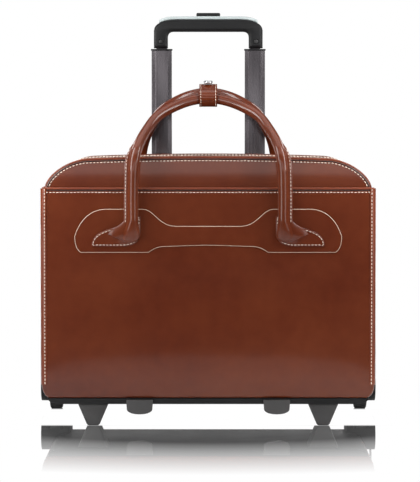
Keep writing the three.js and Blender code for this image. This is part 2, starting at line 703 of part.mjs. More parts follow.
// ---- Zip slider and pull, at the foot of the right-hand side ----
const sliderLow = splitHeight + 14;
const sliderHigh = 11;
const sliderThick = 3.5;
const sliderX = half + gap;
const sliderBody = block([sliderX, -4.5, sliderLow], [sliderX + sliderThick, 4.5, sliderLow + sliderHigh]);
place("zip_slider", sliderBody, steel);
const pullPlate = block([sliderX + 0.6, -4, sliderLow - 27], [sliderX + 2.8, 4, sliderLow - gap]);
const pullHole = round(1.5, 9, [sliderX + sliderThick / 2, 0, sliderLow - 22], "x", 14);
place("zip_pull", pullPlate.subtract(pullHole), steel);

// The origin goes under the middle of everything.
const bounds = new THREE.Box3().setFromObject(model);
model.position.y = -(bounds.min.y + bounds.max.y) / 2;

export default model;
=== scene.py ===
import json
import math

import bmesh
import bpy
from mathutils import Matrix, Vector
from mathutils.geometry import interpolate_bezier


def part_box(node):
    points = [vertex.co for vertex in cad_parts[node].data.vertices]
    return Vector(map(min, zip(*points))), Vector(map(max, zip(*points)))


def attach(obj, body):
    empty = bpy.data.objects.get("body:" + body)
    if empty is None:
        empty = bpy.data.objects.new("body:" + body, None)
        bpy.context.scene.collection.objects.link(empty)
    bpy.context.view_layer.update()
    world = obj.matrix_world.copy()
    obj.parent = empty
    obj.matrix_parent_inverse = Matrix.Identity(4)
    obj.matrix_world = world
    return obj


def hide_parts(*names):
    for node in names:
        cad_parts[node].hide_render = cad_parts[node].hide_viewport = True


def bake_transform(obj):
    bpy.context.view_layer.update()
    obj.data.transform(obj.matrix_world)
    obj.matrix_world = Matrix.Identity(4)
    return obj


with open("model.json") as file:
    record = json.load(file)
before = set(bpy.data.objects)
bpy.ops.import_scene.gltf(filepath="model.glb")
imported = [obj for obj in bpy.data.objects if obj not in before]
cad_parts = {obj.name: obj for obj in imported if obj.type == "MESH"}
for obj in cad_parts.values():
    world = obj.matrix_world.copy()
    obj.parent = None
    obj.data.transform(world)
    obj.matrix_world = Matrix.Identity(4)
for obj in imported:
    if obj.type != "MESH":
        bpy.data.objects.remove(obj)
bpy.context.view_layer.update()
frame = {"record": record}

# ---------------------------------------------------------------------------------------------
# Studio: a pale floor that mirrors what stands on it, white surroundings, a small soft box near
# each upper corner, a panel at each side and a box high in front, which lights the leaning top.
# ---------------------------------------------------------------------------------------------
camera_data = bpy.data.cameras.new("Studio camera")
camera_data.lens = 143.4
camera_data.shift_y = -0.12
camera = bpy.data.objects.new("Studio camera", camera_data)
camera.location = (0.0023, -2.4936, 0.4002)
camera.rotation_euler = (math.radians(90 - 2.174), 0, 0)
bpy.context.scene.collection.objects.link(camera)
bpy.context.scene.camera = camera
bpy.context.scene.view_settings.view_transform = "Standard"


def soft_box(name, place, aim, size, watts):
    data = bpy.data.lights.new(name, "AREA")
    data.shape = "RECTANGLE"
    data.size, data.size_y = size
    data.energy = watts
    lamp = bpy.data.objects.new(name, data)
    lamp.location = place
    lamp.rotation_euler = (Vector(aim) - Vector(place)).to_track_quat("-Z", "Y").to_euler()
    lamp.visible_camera = False
    bpy.context.scene.collection.objects.link(lamp)


soft_box("Top box", (0, -0.34, 0.72), (0, -0.04, 0.3), (0.9, 0.2), 0.7)
soft_box("Left box", (-0.34, -0.20, 0.52), (-0.17, 0, 0.26), (0.12, 0.4), 1.7)
soft_box("Right box", (0.34, -0.20, 0.52), (0.17, 0, 0.26), (0.12, 0.4), 1.6)
soft_box("High front box", (0, -1.9, 0.66), (0, 0, 0.28), (1.2, 0.3), 2.3)
soft_box("Left panel", (-1.1, -1.3, 0.3), (0, 0, 0.25), (0.7, 0.8), 7.5)
soft_box("Right panel", (1.1, -1.3, 0.3), (0, 0, 0.25), (0.7, 0.8), 4.5)
soft_box("Rear left box", (-0.6, 0.55, 0.4), (0, 0, 0.25), (0.16, 0.8), 2.4)
soft_box("Rear right box", (0.6, 0.55, 0.4), (0, 0, 0.25), (0.16, 0.8), 2.4)
soft_box("Ceiling box", (0, 0.1, 1.5), (0, 0, 0), (1.4, 0.8), 5.0)


class Wire:
    """A shader socket that takes part in ordinary sums."""

    def __init__(self, bench, socket):
        self.bench, self.socket = bench, socket

    def sum(self, operation, *others):
        return self.bench.node("ShaderNodeMath", {"operation": operation}, self, *others)

    def __add__(self, other):
        return self.sum("ADD", other)

    def __sub__(self, other):
        return self.sum("SUBTRACT", other)

    def __mul__(self, other):
        return self.sum("MULTIPLY", other)

    def __rsub__(self, other):
        return self.bench.node("ShaderNodeMath", {"operation": "SUBTRACT"}, other, self)

    __radd__ = __add__
    __rmul__ = __mul__

    def clamp(self, low=0.0, high=1.0):
        settings = {"clamp": True}
        return self.bench.node("ShaderNodeMapRange", settings, self, low, high, 0.0, 1.0)


class Finish:
    """A procedural material: its nodes are made by node(), its shader's sockets set by name."""

    def __init__(self, name, **constants):
        self.material = bpy.data.materials.new(name)
        self.material.use_nodes = True
        self.tree = self.material.node_tree
        self.shader = self.tree.nodes["Principled BSDF"]
        for socket, value in constants.items():
            self.shader.inputs[socket.replace("_", " ")].default_value = value

    def node(self, kind, settings, *values, output=0, **named):
        made = self.tree.nodes.new(kind)
        for setting, value in settings.items():
            setattr(made, setting, value)
        wanted = list(enumerate(values)) + [(key.replace("_", " "), value) for key, value in named.items()]
        for key, value in wanted:
            if isinstance(value, Wire):
                self.tree.links.new(value.socket, made.inputs[key])
            else:
                made.inputs[key].default_value = value
        return Wire(self, made.outputs[output])

    def place(self):
        return self.node("ShaderNodeTexCoord", {}, output="Object")

    def noise(self, scale, detail=2.0, at=None, rough=0.5):
        at = at or self.place()
        return self.node("ShaderNodeTexNoise", {}, Vector=at, Scale=scale, Detail=detail, Roughness=rough)

    def blend(self, amount, first, second):
        made = self.tree.nodes.new("ShaderNodeMix")
        made.data_type = "RGBA"
        self.tree.links.new(amount.socket, made.inputs[0])
        for key, value in ((6, first), (7, second)):
            if isinstance(value, Wire):
                self.tree.links.new(value.socket, made.inputs[key])
            else:
                made.inputs[key].default_value = value
        return Wire(self, made.outputs[2])

    def feed(self, socket, wire):
        self.tree.links.new(wire.socket, self.shader.inputs[socket])

    def bump(self, height, distance, strength=1.0):
        self.feed("Normal",
                  self.node("ShaderNodeBump", {}, Height=height, Distance=distance, Strength=strength))


world = bpy.data.worlds.new("White surroundings")
world.use_nodes = True
bpy.context.scene.world = world


def world_node(kind, settings=(), inputs=()):
    node = world.node_tree.nodes.new(kind)
    for key, value in dict(settings).items():
        setattr(node, key, value)
    for key, value in dict(inputs).items():
        if isinstance(value, bpy.types.NodeSocket):
            world.node_tree.links.new(value, node.inputs[key])
        else:
            node.inputs[key].default_value = value
    return node


ray = world_node("ShaderNodeLightPath")
way = world_node("ShaderNodeTexCoord")
split = world_node("ShaderNodeSeparateXYZ", (), {"Vector": way.outputs["Generated"]})
ramp = world_node("ShaderNodeValToRGB", (), {"Fac": split.outputs["Z"]})
ramp.color_ramp.elements[0].position, ramp.color_ramp.elements[0].color = 0.0, (0.02, 0.02, 0.02, 1)
ramp.color_ramp.elements[1].position, ramp.color_ramp.elements[1].color = 0.01, (0.13, 0.13, 0.13, 1)
for position, level in ((0.26, 0.15), (0.36, 0.10), (1.0, 0.18)):
    stop = ramp.color_ramp.elements.new(position)
    stop.color = (level, level, level, 1)
backdrop = world_node("ShaderNodeMath", {"operation": "MAXIMUM"},
                      {0: ray.outputs["Is Camera Ray"], 1: ray.outputs["Is Singular Ray"]})
choice = world_node("ShaderNodeMix", {"data_type": "RGBA"})
world.node_tree.links.new(backdrop.outputs[0], choice.inputs[0])
world.node_tree.links.new(ramp.outputs["Color"], choice.inputs[6])
choice.inputs[7].default_value = (1, 1, 1, 1)
world.node_tree.links.new(choice.outputs[2], world.node_tree.nodes["Background"].inputs["Color"])

floor_finish = Finish("Pale floor", Base_Color=(0.82, 0.82, 0.82, 1), Roughness=0.6,
                      Emission_Color=(1, 1, 1, 1),
                      Emission_Strength=0.08)
east = floor_finish.node("ShaderNodeSeparateXYZ", {}, floor_finish.place(), output="X") * 0.62
north = floor_finish.node("ShaderNodeSeparateXYZ", {}, floor_finish.place(), output="Y")
reach = (east * east + north * north).sum("SQRT")
near = 1 - floor_finish.node("ShaderNodeMapRange", {"clamp": True}, reach, 0.19, 0.40, 0.0, 1.0)
beside = east.sum("ABSOLUTE").clamp(0.133, 0.146)
in_front = north.sum("ABSOLUTE").clamp(0.062, 0.072).sum("MAXIMUM", beside)
slant = floor_finish.node("ShaderNodeLayerWeight", {}, 0.5, output="Facing")
grazing = floor_finish.node("ShaderNodeMapRange", {"clamp": True}, slant, 0.5, 0.78, 0.0, 1.0)
mirror = floor_finish.node("ShaderNodeBsdfGlossy", {}, (1.0, 1.0, 1.0, 1), 0.0)
bright = floor_finish.node("ShaderNodeEmission", {}, (1, 1, 1, 1), 1.0)
seen_floor = floor_finish.node("ShaderNodeMixShader", {}, near * in_front * grazing * 0.95, bright, mirror)
camera_ray = floor_finish.node("ShaderNodeLightPath", {}, output="Is Camera Ray")
lit_floor = Wire(floor_finish, floor_finish.shader.outputs["BSDF"])
whole_floor = floor_finish.node("ShaderNodeMixShader", {}, camera_ray, lit_floor, seen_floor)
floor_finish.tree.links.new(whole_floor.socket, floor_finish.tree.nodes["Material Output"].inputs["Surface"])
rim = [(1.1 * math.cos(t * math.pi / 48), 0.62 * math.sin(t * math.pi / 48), 0) for t in range(96)]
floor_mesh = bpy.data.meshes.new("floor")
floor_mesh.from_pydata(rim, [], [tuple(range(96))])
floor_mesh.materials.append(floor_finish.material)
floor = bpy.data.objects.new("floor", floor_mesh)
bpy.context.scene.collection.objects.link(floor)

# ---------------------------------------------------------------------------------------------
# Leather shells: glossy box calf, about 2 mm thick with its lining. The front half is the panel
# with its half of the gusset and swings open along the lower edge; the rear half is fixed to it
# by the bottom, which runs under both. The gusset dips slightly between its seams.
# ---------------------------------------------------------------------------------------------
def leather_finish(name, deep, warm, grain=1.0):
    finish = Finish(name, Coat_Weight=0.6, Coat_Roughness=0.1, Specular_IOR_Level=0.15)
    cloud = finish.noise(7.0, 3.0)
    mottle = finish.noise(70.0, 3.0)
    amount = (cloud * 0.75 + mottle * 0.25).clamp(0.3, 0.7)
    finish.feed("Base Color", finish.blend(amount, deep, warm))
    finish.feed("Roughness", mottle * 0.08 + cloud * 0.06 + 0.26)
    pores = finish.node("ShaderNodeTexVoronoi", {}, Vector=finish.place(), Scale=1300.0)
    slack = finish.noise(14.0, 1.0)
    finish.bump(pores * 0.3 * grain + slack * 2.5, 0.0001)
    return finish.material


leather = leather_finish("Box calf", (0.090, 0.0148, 0.0049, 1), (0.148, 0.031, 0.0096, 1))

cloth_lining = Finish("Dark lining", Roughness=0.9)
threads = [cloth_lining.node("ShaderNodeTexWave", {"bands_direction": way}, Vector=cloth_lining.place(),
                             Scale=260.0, Distortion=0.6, output="Fac") for way in ("X", "Z")]
weave = threads[0] * threads[1]
cloth_lining.feed("Base Color", cloth_lining.blend(weave, (0.03, 0.027, 0.026, 1), (0.075, 0.068, 0.064, 1)))
cloth_lining.bump(weave, 0.0002)
lining = cloth_lining.material


def add_piece(name, mesh, body, materials, replaces=(), shade_angle=40):
    piece = bpy.data.objects.new(name, mesh)
    bpy.context.scene.collection.objects.link(piece)
    if not mesh.materials:
        for material in materials:
            mesh.materials.append(material)
    mesh.shade_smooth()
    mesh.set_sharp_from_angle(angle=math.radians(shade_angle))
    if replaces:
        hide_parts(*replaces)
    if body:
        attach(piece, body)
    return piece


def baked(mesh, modifiers, materials=()):
    """The mesh with these (type, settings) modifiers applied."""
    carrier = bpy.data.objects.new("carrier", mesh)
    bpy.context.scene.collection.objects.link(carrier)
    for material in materials:
        mesh.materials.append(material)
    for kind, settings in modifiers:
        modifier = carrier.modifiers.new(kind, kind)
        for setting, value in settings.items():
            setattr(modifier, setting, value)
    view = bpy.context.evaluated_depsgraph_get()
    result = bpy.data.meshes.new_from_object(carrier.evaluated_get(view))
    bpy.data.objects.remove(carrier)
    return result


def ring_mesh(rings, keep=lambda centre: True, closed_ring=True, caps=(False, True), tip=None):
    """Quads between rings of equally many points; caps close the first and last ring on a point."""
    count = len(rings[0])
    points = [Vector(p) for ring in rings for p in ring]
    faces = []
    span = count if closed_ring else count - 1
    for r in range(len(rings) - 1):
        for i in range(span):
            j = (i + 1) % count
            face = (r * count + i, r * count + j, (r + 1) * count + j, (r + 1) * count + i)
            if keep(sum((points[k] for k in face), Vector()) / 4):
                faces.append(face)
    for end, start in ((0, 0), (1, (len(rings) - 1) * count)):
        if caps[end]:
            ring = points[start:start + count]
            points.append(tip if end and tip else sum(ring, Vector()) / count)
            for i in range(count):
                a, b = start + i, start + (i + 1) % count
                faces.append((b, a, len(points) - 1) if not end else (a, b, len(points) - 1))
    mesh = bpy.data.meshes.new("rings")
    mesh.from_pydata(points, [], faces)
    work = bmesh.new()
    work.from_mesh(mesh)
    bmesh.ops.delete(work, geom=[v for v in work.verts if not v.link_faces], context="VERTS")
    bmesh.ops.recalc_face_normals(work, faces=work.faces)
    work.to_mesh(mesh)
    work.free()
    return mesh


body_low, body_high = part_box("front_panel")
half_width = body_high.x
body_bottom, body_crown = body_low.z, body_high.z
front_y = body_low.y
rear_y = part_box("rear_panel")[1].y
split_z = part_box("bottom_panel")[1].z
crown_rise = 0.003
shoulder_wide, shoulder_high = 0.058, 0.037
toe_wide, toe_high = 0.010, 0.018
shoulder_step, shoulder_power = 0.0042, 1.2


def quarter(centre_x, centre_z, wide, high, start, steps, power=1.0):
    points = []
    for k in range(steps):
        angle = start + (math.pi / 2) * k / steps
        across, up = [math.copysign(abs(f) ** power, f) for f in (math.cos(angle), math.sin(angle))]
        points.append((centre_x + wide * across, centre_z + high * up))
    return points


def ease(value, low, high):
    share = min(max((value - low) / (high - low), 0.0), 1.0)
    return share * share * (3 - 2 * share)


def straight(start, end, steps):
    return [tuple(a + (b - a) * k / steps for a, b in zip(start, end)) for k in range(steps)]


def case_outline(inset=0.0):
    """The case seen from the front, anticlockwise from the lower left, as (x, z) points."""
    x, low = half_width - inset, body_bottom + inset
    top = body_crown - crown_rise - inset
    wide, high = shoulder_wide - inset, shoulder_high - inset
    foot_wide, foot_high = max(toe_wide - inset, 0.001), max(toe_high - inset, 0.001)
    points = straight((-x + foot_wide, low), (x - foot_wide, low), 36)
    points += quarter(x - foot_wide, low + foot_high, foot_wide, foot_high, -math.pi / 2, 8)
    points += straight((x, low + foot_high), (x, top - high), 26)
    points += quarter(x - wide, top - high, wide - shoulder_step, high, 0, 18, shoulder_power)
    for px, pz in straight((x - wide, top), (-x + wide, top), 30):
        points.append((px, pz + crown_rise * (1 - (px / (x - wide)) ** 2)))
    points += quarter(-x + wide, top - high, wide - shoulder_step, high, math.pi / 2, 18, shoulder_power)
    points += straight((-x, top - high), (-x, low + foot_high), 26)
    points += quarter(-x + foot_wide, low + foot_high, foot_wide, foot_high, math.pi, 8)
    return points


def at_y(outline, y):
    return [(x, y, z) for x, z in outline]


def panel_lean(z):
    """Above the pocket's mouth both panels lean in towards the zip."""
    return 0.0034 * ease(z, body_crown - 0.042, body_crown + 0.02)


def half_shell(zip_y, face_y, keep):
    """From the zip's edge over the gusset, round the seam and in to the middle of the panel."""
    way = 1 if face_y > zip_y else -1
    depth = abs(face_y - zip_y)

    def leaning(outline, y):
        share = abs(y - zip_y) / depth
        return [(x, y - way * panel_lean(z) * ease(share, 0.6, 0.97), z) for x, z in outline]

    rings = [at_y(case_outline(0.001), zip_y)]
    for share, dip in ((0.03, 0), (0.15, 0.0006), (0.35, 0.0013), (0.55, 0.0014), (0.75, 0.0008),
                       (0.9, 0.0001)):
        rings.append(leaning(case_outline(dip), zip_y + way * depth * share))
    for turn in range(1, 5):
        angle = turn * math.pi / 8
        radius = 0.0035
        inset = radius * (1 - math.cos(angle))
        rings.append(leaning(case_outline(inset), face_y - way * radius * (1 - math.sin(angle))))
    for inset in (0.0075, 0.012, 0.018, 0.025, 0.034):
        rings.append(leaning(case_outline(inset), face_y))
    middle_z = (body_bottom + body_crown) / 2
    last = case_outline(0.034)
    for share in (0.75, 0.5, 0.25):
        rings.append(leaning([(x * share, middle_z + (z - middle_z) * share) for x, z in last], face_y))
    return ring_mesh(rings, keep=keep)


skin = 0.0022
wall = ("SOLIDIFY", {"thickness": skin, "offset": -1.0, "material_offset": 1, "material_offset_rim": 0})
zip_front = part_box("front_gusset")[1].y
zip_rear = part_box("rear_gusset")[0].y
panel_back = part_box("front_panel")[1].y
front_shell_mesh = half_shell(zip_front, front_y, lambda c: c.z > split_z + 0.0005 or c.y < panel_back)
add_piece("front_leather", baked(front_shell_mesh, [wall], (leather, lining)), "front_shell", (),
          ("front_panel", "front_gusset"))

well_low, well_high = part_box("wheel_housing_right")


def without_wells(mesh):
    """Cuts the lower rear corners away where the wheel housings stand."""
    room = 0.0006
    cutters = []
    for way in (-1, 1):
        near, far = sorted((way * (well_low.x - room), way * (half_width + 0.05)))
        corners = [(x, y, z) for x in (near, far) for y in (well_low.y - room, well_high.y + 0.05)
                   for z in (-0.02, well_high.z + room)]
        faces = [(0, 1, 3, 2), (4, 6, 7, 5), (0, 4, 5, 1), (2, 3, 7, 6), (0, 2, 6, 4), (1, 5, 7, 3)]
        cutter_mesh = bpy.data.meshes.new("well")
        cutter_mesh.from_pydata(corners, [], faces)
        cutter = bpy.data.objects.new("well", cutter_mesh)
        bpy.context.scene.collection.objects.link(cutter)
        cutters.append(cutter)
    cut = [("BOOLEAN", {"operation": "DIFFERENCE", "object": cutter, "solver": "EXACT"})
           for cutter in cutters]
    result = baked(mesh, cut)
    for cutter in cutters:
        bpy.data.objects.remove(cutter)
    return result


rear_shell_mesh = half_shell(zip_rear, rear_y,
                             lambda c: c.z > split_z + 0.0005 or c.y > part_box("rear_panel")[0].y)
rear_solid = baked(rear_shell_mesh, [wall], (leather, lining))
add_piece("rear_leather", without_wells(rear_solid), "case", (), ("rear_panel", "rear_gusset"))

bottom_low, bottom_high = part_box("bottom_panel")
bottom_rings = [at_y(case_outline(0.0005 if share in (0, 1) else 0.0002),
                     bottom_low.y + (bottom_high.y - bottom_low.y) * share)
                     for share in (0, 0.02, 0.25, 0.5, 0.75, 0.98, 1)]
bottom_sheet = ring_mesh(bottom_rings, keep=lambda c: c.z < split_z, caps=(False, False))
add_piece("bottom_leather", without_wells(baked(bottom_sheet, [wall], (leather, lining))), "case", (),
          ("bottom_panel",))

# ---------------------------------------------------------------------------------------------
# Front pocket: a second leather panel sewn over the lower front, open along its straight top.
# Its sides and foot are turned back to the case, and a rolled edge finishes the mouth.
# ---------------------------------------------------------------------------------------------
pocket_low, pocket_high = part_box("pocket_panel")
pocket_face, pocket_back, pocket_top = pocket_low.y, pocket_high.y, pocket_high.z


below_mouth = [i for i, p in enumerate(case_outline()) if p[1] < pocket_top - 0.004]
last_right = next(i for i in below_mouth if i + 1 not in below_mouth)


def pocket_outline(inset, top_drop=0.0):
    """The case's outline up to the pocket's mouth, then straight across."""
    top = pocket_top - top_drop
    whole = case_outline(inset)
    low_part = [(whole[i][0], min(whole[i][1], top - 0.001)) for i in below_mouth]
    split = below_mouth.index(last_right) + 1
    rim = half_width - inset
    return low_part[:split] + straight((rim, top), (-rim, top), 36) + [(-rim, top)] + low_part[split:]


def pocket_fullness(x, z):
    """The panel stands out a little below the handles' patch, and its foot curls back."""
    across = max(0.0, 1 - (x / half_width) ** 4)
    share = min(max((z - body_bottom) / 0.175, 0.0), 1.0)
    full = 0.0022 * across * math.sin(math.pi * share)
    foot = max(0.0, 1 - (z - body_bottom) / 0.024)
    return full - 0.0072 * foot ** 1.6


def pocket_ring(inset, y, top_drop=0.0, full=1.0):
    return [(x, y - full * pocket_fullness(x, z), z) for x, z in pocket_outline(inset, top_drop)]


pocket_rings = [pocket_ring(0, pocket_back, full=0), pocket_ring(0, pocket_back - 0.002, full=0.25)]
edge_round = 0.0045
for turn in range(5):
    angle = turn * math.pi / 8
    inset = edge_round * (1 - math.cos(angle))
    pocket_rings.append(pocket_ring(inset, pocket_face + edge_round * (1 - math.sin(angle)),
                                    full=0.6 + 0.1 * turn))
for inset in (0.008, 0.013, 0.02, 0.03):
    pocket_rings.append(pocket_ring(inset, pocket_face, top_drop=(inset - 0.0045) * 0.8))
inner_edge = pocket_outline(0.03, 0.0204)
pocket_middle = (body_bottom + pocket_top) / 2
for share in (0.85, 0.7, 0.55, 0.4, 0.25, 0.1):
    shrunk = [(x * share, pocket_middle + (z - pocket_middle) * share) for x, z in inner_edge]
    pocket_rings.append([(x, pocket_face - pocket_fullness(x, z), z) for x, z in shrunk])
pocket_sheet = ring_mesh(pocket_rings, keep=lambda c: c.z < pocket_top - 0.0001 or c.y < pocket_face - 0.0001)
add_piece("pocket_leather", baked(pocket_sheet, [wall], (leather, lining)), "front_shell", (),
          ("pocket_panel",))

# ---------------------------------------------------------------------------------------------
# Piping and bindings: a cord covered in the same leather follows each panel's edge, a rolled
# edge finishes the pocket's mouth, and a folded strip binds the pocket's two sides.
# ---------------------------------------------------------------------------------------------
# The piping, the mouth's rolled edge and the bindings use a lighter copy of the box calf. Its extra lightness
# is painted sheen, standing in for the highlights along their rounded edges.
piping_painted_sheen_leather = leather_finish("Piping calf with painted sheen", (0.14, 0.025, 0.009, 1), (0.21, 0.046, 0.016, 1), 0.7)


def cord_mesh(paths, radius, closed=False, sides=3):
    curve = bpy.data.curves.new("cord", "CURVE")
    curve.dimensions = "3D"
    curve.bevel_depth = radius
    curve.bevel_resolution = sides
    curve.use_fill_caps = True
    for path in paths:
        spline = curve.splines.new("POLY")
        spline.points.add(len(path) - 1)
        for point, place in zip(spline.points, path):
            point.co = (*place, 1)
        spline.use_cyclic_u = closed
    carrier = bpy.data.objects.new("cord", curve)
    bpy.context.scene.collection.objects.link(carrier)
    mesh = bpy.data.meshes.new_from_object(carrier.evaluated_get(bpy.context.evaluated_depsgraph_get()))
    bpy.data.objects.remove(carrier)
    return mesh


def above(outline, height):
    """The part of a closed outline above a height, in one run."""
    start = next(i for i, p in enumerate(outline) if p[1] > height and outline[i - 1][1] <= height)
    turned = outline[start:] + outline[:start]
    return [p for p in turned if p[1] > height]


piping_radius = 0.0013
front_piping_path = [(x, front_y + 0.0012 + panel_lean(z), z)
                     for x, z in above(case_outline(0.0008), pocket_top - 0.004)]
rear_piping_path = [(x, rear_y - 0.0012 - panel_lean(z), z)
                    for x, z in above(case_outline(0.0008), well_high.z)]
add_piece("front_piping", cord_mesh([front_piping_path], piping_radius), "front_shell",
          (piping_painted_sheen_leather,), ())
add_piece("rear_piping", cord_mesh([rear_piping_path], piping_radius), "case",
          (piping_painted_sheen_leather,), ())
mouth_path = [(x, pocket_face + 0.0006, pocket_top) for x in (-0.2085, -0.15, -0.075, 0, 0.075, 0.15, 0.2085)]
add_piece("pocket_rolled_edge", cord_mesh([mouth_path], 0.0014), "front_shell",
          (piping_painted_sheen_leather,), ())

binding_wide = 0.0065
# A near-black cord of painted shade lies inside the top piping and under the pocket's rolled edge, where
# those edges cast their shadow.
crease = Finish("Shaded crease", Roughness=0.7)
crease.feed("Base Color",
            crease.blend(crease.noise(300.0), (0.006, 0.003, 0.002, 1), (0.02, 0.006, 0.004, 1)))
crease_shade_paths = [[(x, front_y + 0.0001 + panel_lean(z), z)
                 for x, z in above(case_outline(0.0032), pocket_top + 0.001)],
                [(x, pocket_face + 0.0002, pocket_top - 0.0022) for x in (-0.204, -0.1, 0, 0.1, 0.204)]]
add_piece("front_crease_shade_cords", cord_mesh(crease_shade_paths, 0.0007, sides=1), "front_shell",
          (crease.material,), ())

binding_profile = [(binding_wide, -0.0001), (binding_wide - 0.0003, -0.0009), (0.0045, -0.0011),
                   (0.0025, -0.0009),
                   (0.0011, 0.0001), (0.0, 0.0018), (-0.0007, 0.004), (-0.0007, 0.0075), (0.0004, 0.0078)]
binding_heights = [0.0545 + (pocket_top - 0.0545) * k / 40 for k in range(41)]
for name, side in (("left", -1), ("right", 1)):
    rings = [[(side * (half_width - inset),
               pocket_face + y - (1 - ease(y, 0, 0.008)) * pocket_fullness(half_width, z), z)
              for inset, y in binding_profile] for z in binding_heights]
    strip = baked(ring_mesh(rings, closed_ring=False, caps=(False, False)),
                  [("SOLIDIFY", {"thickness": 0.0008, "offset": 0.0})])
    add_piece(f"pocket_binding_{name}", strip, "front_shell", (piping_painted_sheen_leather,), ())

# ---------------------------------------------------------------------------------------------
# Handle patch: one flat leather piece behind both handle ends, waisted in the middle, laid on
# the pocket and sewn along a pale painted edge.
# ---------------------------------------------------------------------------------------------
cream_edge = Finish("Cream edge paint", Roughness=0.5)
cream_edge.feed("Base Color",
                cream_edge.blend(cream_edge.noise(900.0), (0.55, 0.40, 0.28, 1), (0.78, 0.64, 0.5, 1)))


def traced(start, *legs, steps=9):
    """Points in metres along lines and curves given in millimetres: each leg is its handles, then its end."""
    points = [Vector(start)]
    for *handles, end in legs:
        origin, end = points[-1], Vector(end)
        pull = [Vector(h) for h in handles]
        if not pull:
            points += [origin.lerp(end, k / 4) for k in range(1, 5)]
            continue
        if len(pull) == 1:
            pull = [origin.lerp(pull[0], 2 / 3), end.lerp(pull[0], 2 / 3)]
        bezier = interpolate_bezier(origin.to_3d(), pull[0].to_3d(), pull[1].to_3d(), end.to_3d(), steps + 1)
        points += [p.to_2d() for p in bezier[1:]]
    if (points[-1] - points[0]).length < 0.01:
        points.pop()
    return [p / 1000 for p in points]


def cut_sheet(outline, back_y, face_y, edge):
    """A flat sheet of leather cut to an (x, z) outline, with rounded edges."""
    curve = bpy.data.curves.new("cut", "CURVE")
    curve.dimensions = "2D"
    curve.fill_mode = "BOTH"
    curve.bevel_depth = edge
    curve.bevel_resolution = 2
    curve.offset = -edge
    curve.extrude = abs(back_y - face_y) / 2 - edge
    spline = curve.splines.new("POLY")
    spline.points.add(len(outline) - 1)
    for point, place in zip(spline.points, outline):
        point.co = (place[0], place[1], 0, 1)
    spline.use_cyclic_u = True
    carrier = bpy.data.objects.new("cut", curve)
    bpy.context.scene.collection.objects.link(carrier)
    mesh = bpy.data.meshes.new_from_object(carrier.evaluated_get(bpy.context.evaluated_depsgraph_get()))
    bpy.data.objects.remove(carrier)
    for vertex in mesh.vertices:
        x, z, out = vertex.co
        vertex.co = (x, (back_y + face_y) / 2 - out, z)
    return mesh


def moved_in(outline, distance):
    """A closed outline with every point moved inwards."""
    count = len(outline)
    area = sum(a[0] * b[1] - b[0] * a[1] for a, b in zip(outline, outline[1:] + outline[:1]))
    way = 1 if area > 0 else -1
    result = []
    for i in range(count):
        along = (Vector(outline[(i + 1) % count]) - Vector(outline[i - 1])).normalized()
        result.append(Vector(outline[i]) + Vector((-along.y, along.x)) * distance * way)
    return result


patch_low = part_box("overlay")[0].z * 1000
patch_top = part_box("overlay")[1].z * 1000
patch_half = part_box("overlay")[1].x * 1000
waist_low, waist_high = patch_low + 7.5, patch_top - 21.5
left_side = traced((-75, patch_low), ((-160, patch_low),),
                   ((-patch_half, patch_low + 5), (-patch_half, patch_low + 20)),
                   ((-162, patch_top - 16), (-150, patch_top - 1), (-130, patch_top)), ((-82, patch_top),),
                   ((-68, patch_top), (-62, waist_high), (-41, waist_high)), ((0, waist_high),))
lower_waist = traced((0, waist_low + 1.5), ((-18, waist_low + 1.5), (-40, waist_low + 0.2), (-54, waist_low)),
                     ((-66, waist_low), (-75, patch_low)))
patch_outline = [tuple(p) for p in lower_waist] + [tuple(p) for p in left_side[1:]]
patch_outline += [(-x, z) for x, z in reversed(patch_outline[1:-1])]
patch_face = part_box("overlay")[0].y
add_piece("handle_patch", cut_sheet(patch_outline, pocket_face - 0.0001, patch_face, 0.0004),
          "front_shell", (leather,), ("overlay",))
patch_edge = [(x, patch_face + 0.0006, z) for x, z in moved_in(patch_outline, 0.0001)]
add_piece("handle_patch_edge", cord_mesh([patch_edge], 0.00055, closed=True, sides=1), "front_shell",
          (cream_edge.material,), ())

# ---------------------------------------------------------------------------------------------
# Handle tabs: shoe-shaped leather ends, padded at the heel where the rolled handle sinks into
# them, sewn down all round.
# ---------------------------------------------------------------------------------------------
tab_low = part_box("front_tab_left")[0].z * 1000


def tab_outline(leg):
    points = traced((-leg + 9, tab_low + 16.5),
                    ((-leg + 9, tab_low + 4), (-leg - 3, tab_low), (-leg - 15, tab_low)),
                    ((-leg - 50, tab_low),), ((-leg - 53, tab_low), (-leg - 52.5, tab_low + 3)),
                    ((-leg - 50, tab_low + 16), (-leg - 39, tab_low + 19), (-leg - 26, tab_low + 23)),
                    ((-leg - 12, tab_low + 27.5), (-leg - 8, tab_low + 38)), ((-leg + 9, tab_low + 38),),
                    ((-leg + 9, tab_low + 16.5),))
    return points


def tab_height(x, z, leg):
    """How far the padded heel stands above the flat of the tab."""
    across = (x * 1000 + leg + 5) / (17 if x * 1000 < -leg - 5 else 12)
    up = (z * 1000 - tab_low - 15) / 13
    return 0.0052 * math.exp(-across ** 2 - up ** 2)


def tab_rings(leg, back_y, face_y, outline):
    out = -1 if face_y < back_y else 1
    centre = Vector((-leg / 1000 - 0.012, tab_low / 1000 + 0.0145))
    rings = [at_y([centre + (Vector(p) - centre) * 0.96 for p in outline], back_y), at_y(outline, back_y)]
    corner = 0.0009
    rings.append(at_y(outline, face_y - out * corner))
    for share, drop in ((0.985, 0.25), (0.965, 0.02), (0.92, 0), (0.85, 0), (0.76, 0), (0.66, 0), (0.55, 0),
                        (0.43, 0), (0.3, 0), (0.16, 0)):
        ring = [centre + (Vector(p) - centre) * share for p in outline]
        rings.append([(x, face_y + out * (tab_height(x, z, leg) - corner * drop), z) for x, z in ring])
    return rings


def mirror_x(mesh):
    copy = mesh.copy()
    for vertex in copy.vertices:
        vertex.co.x = -vertex.co.x
    copy.flip_normals()
    return copy


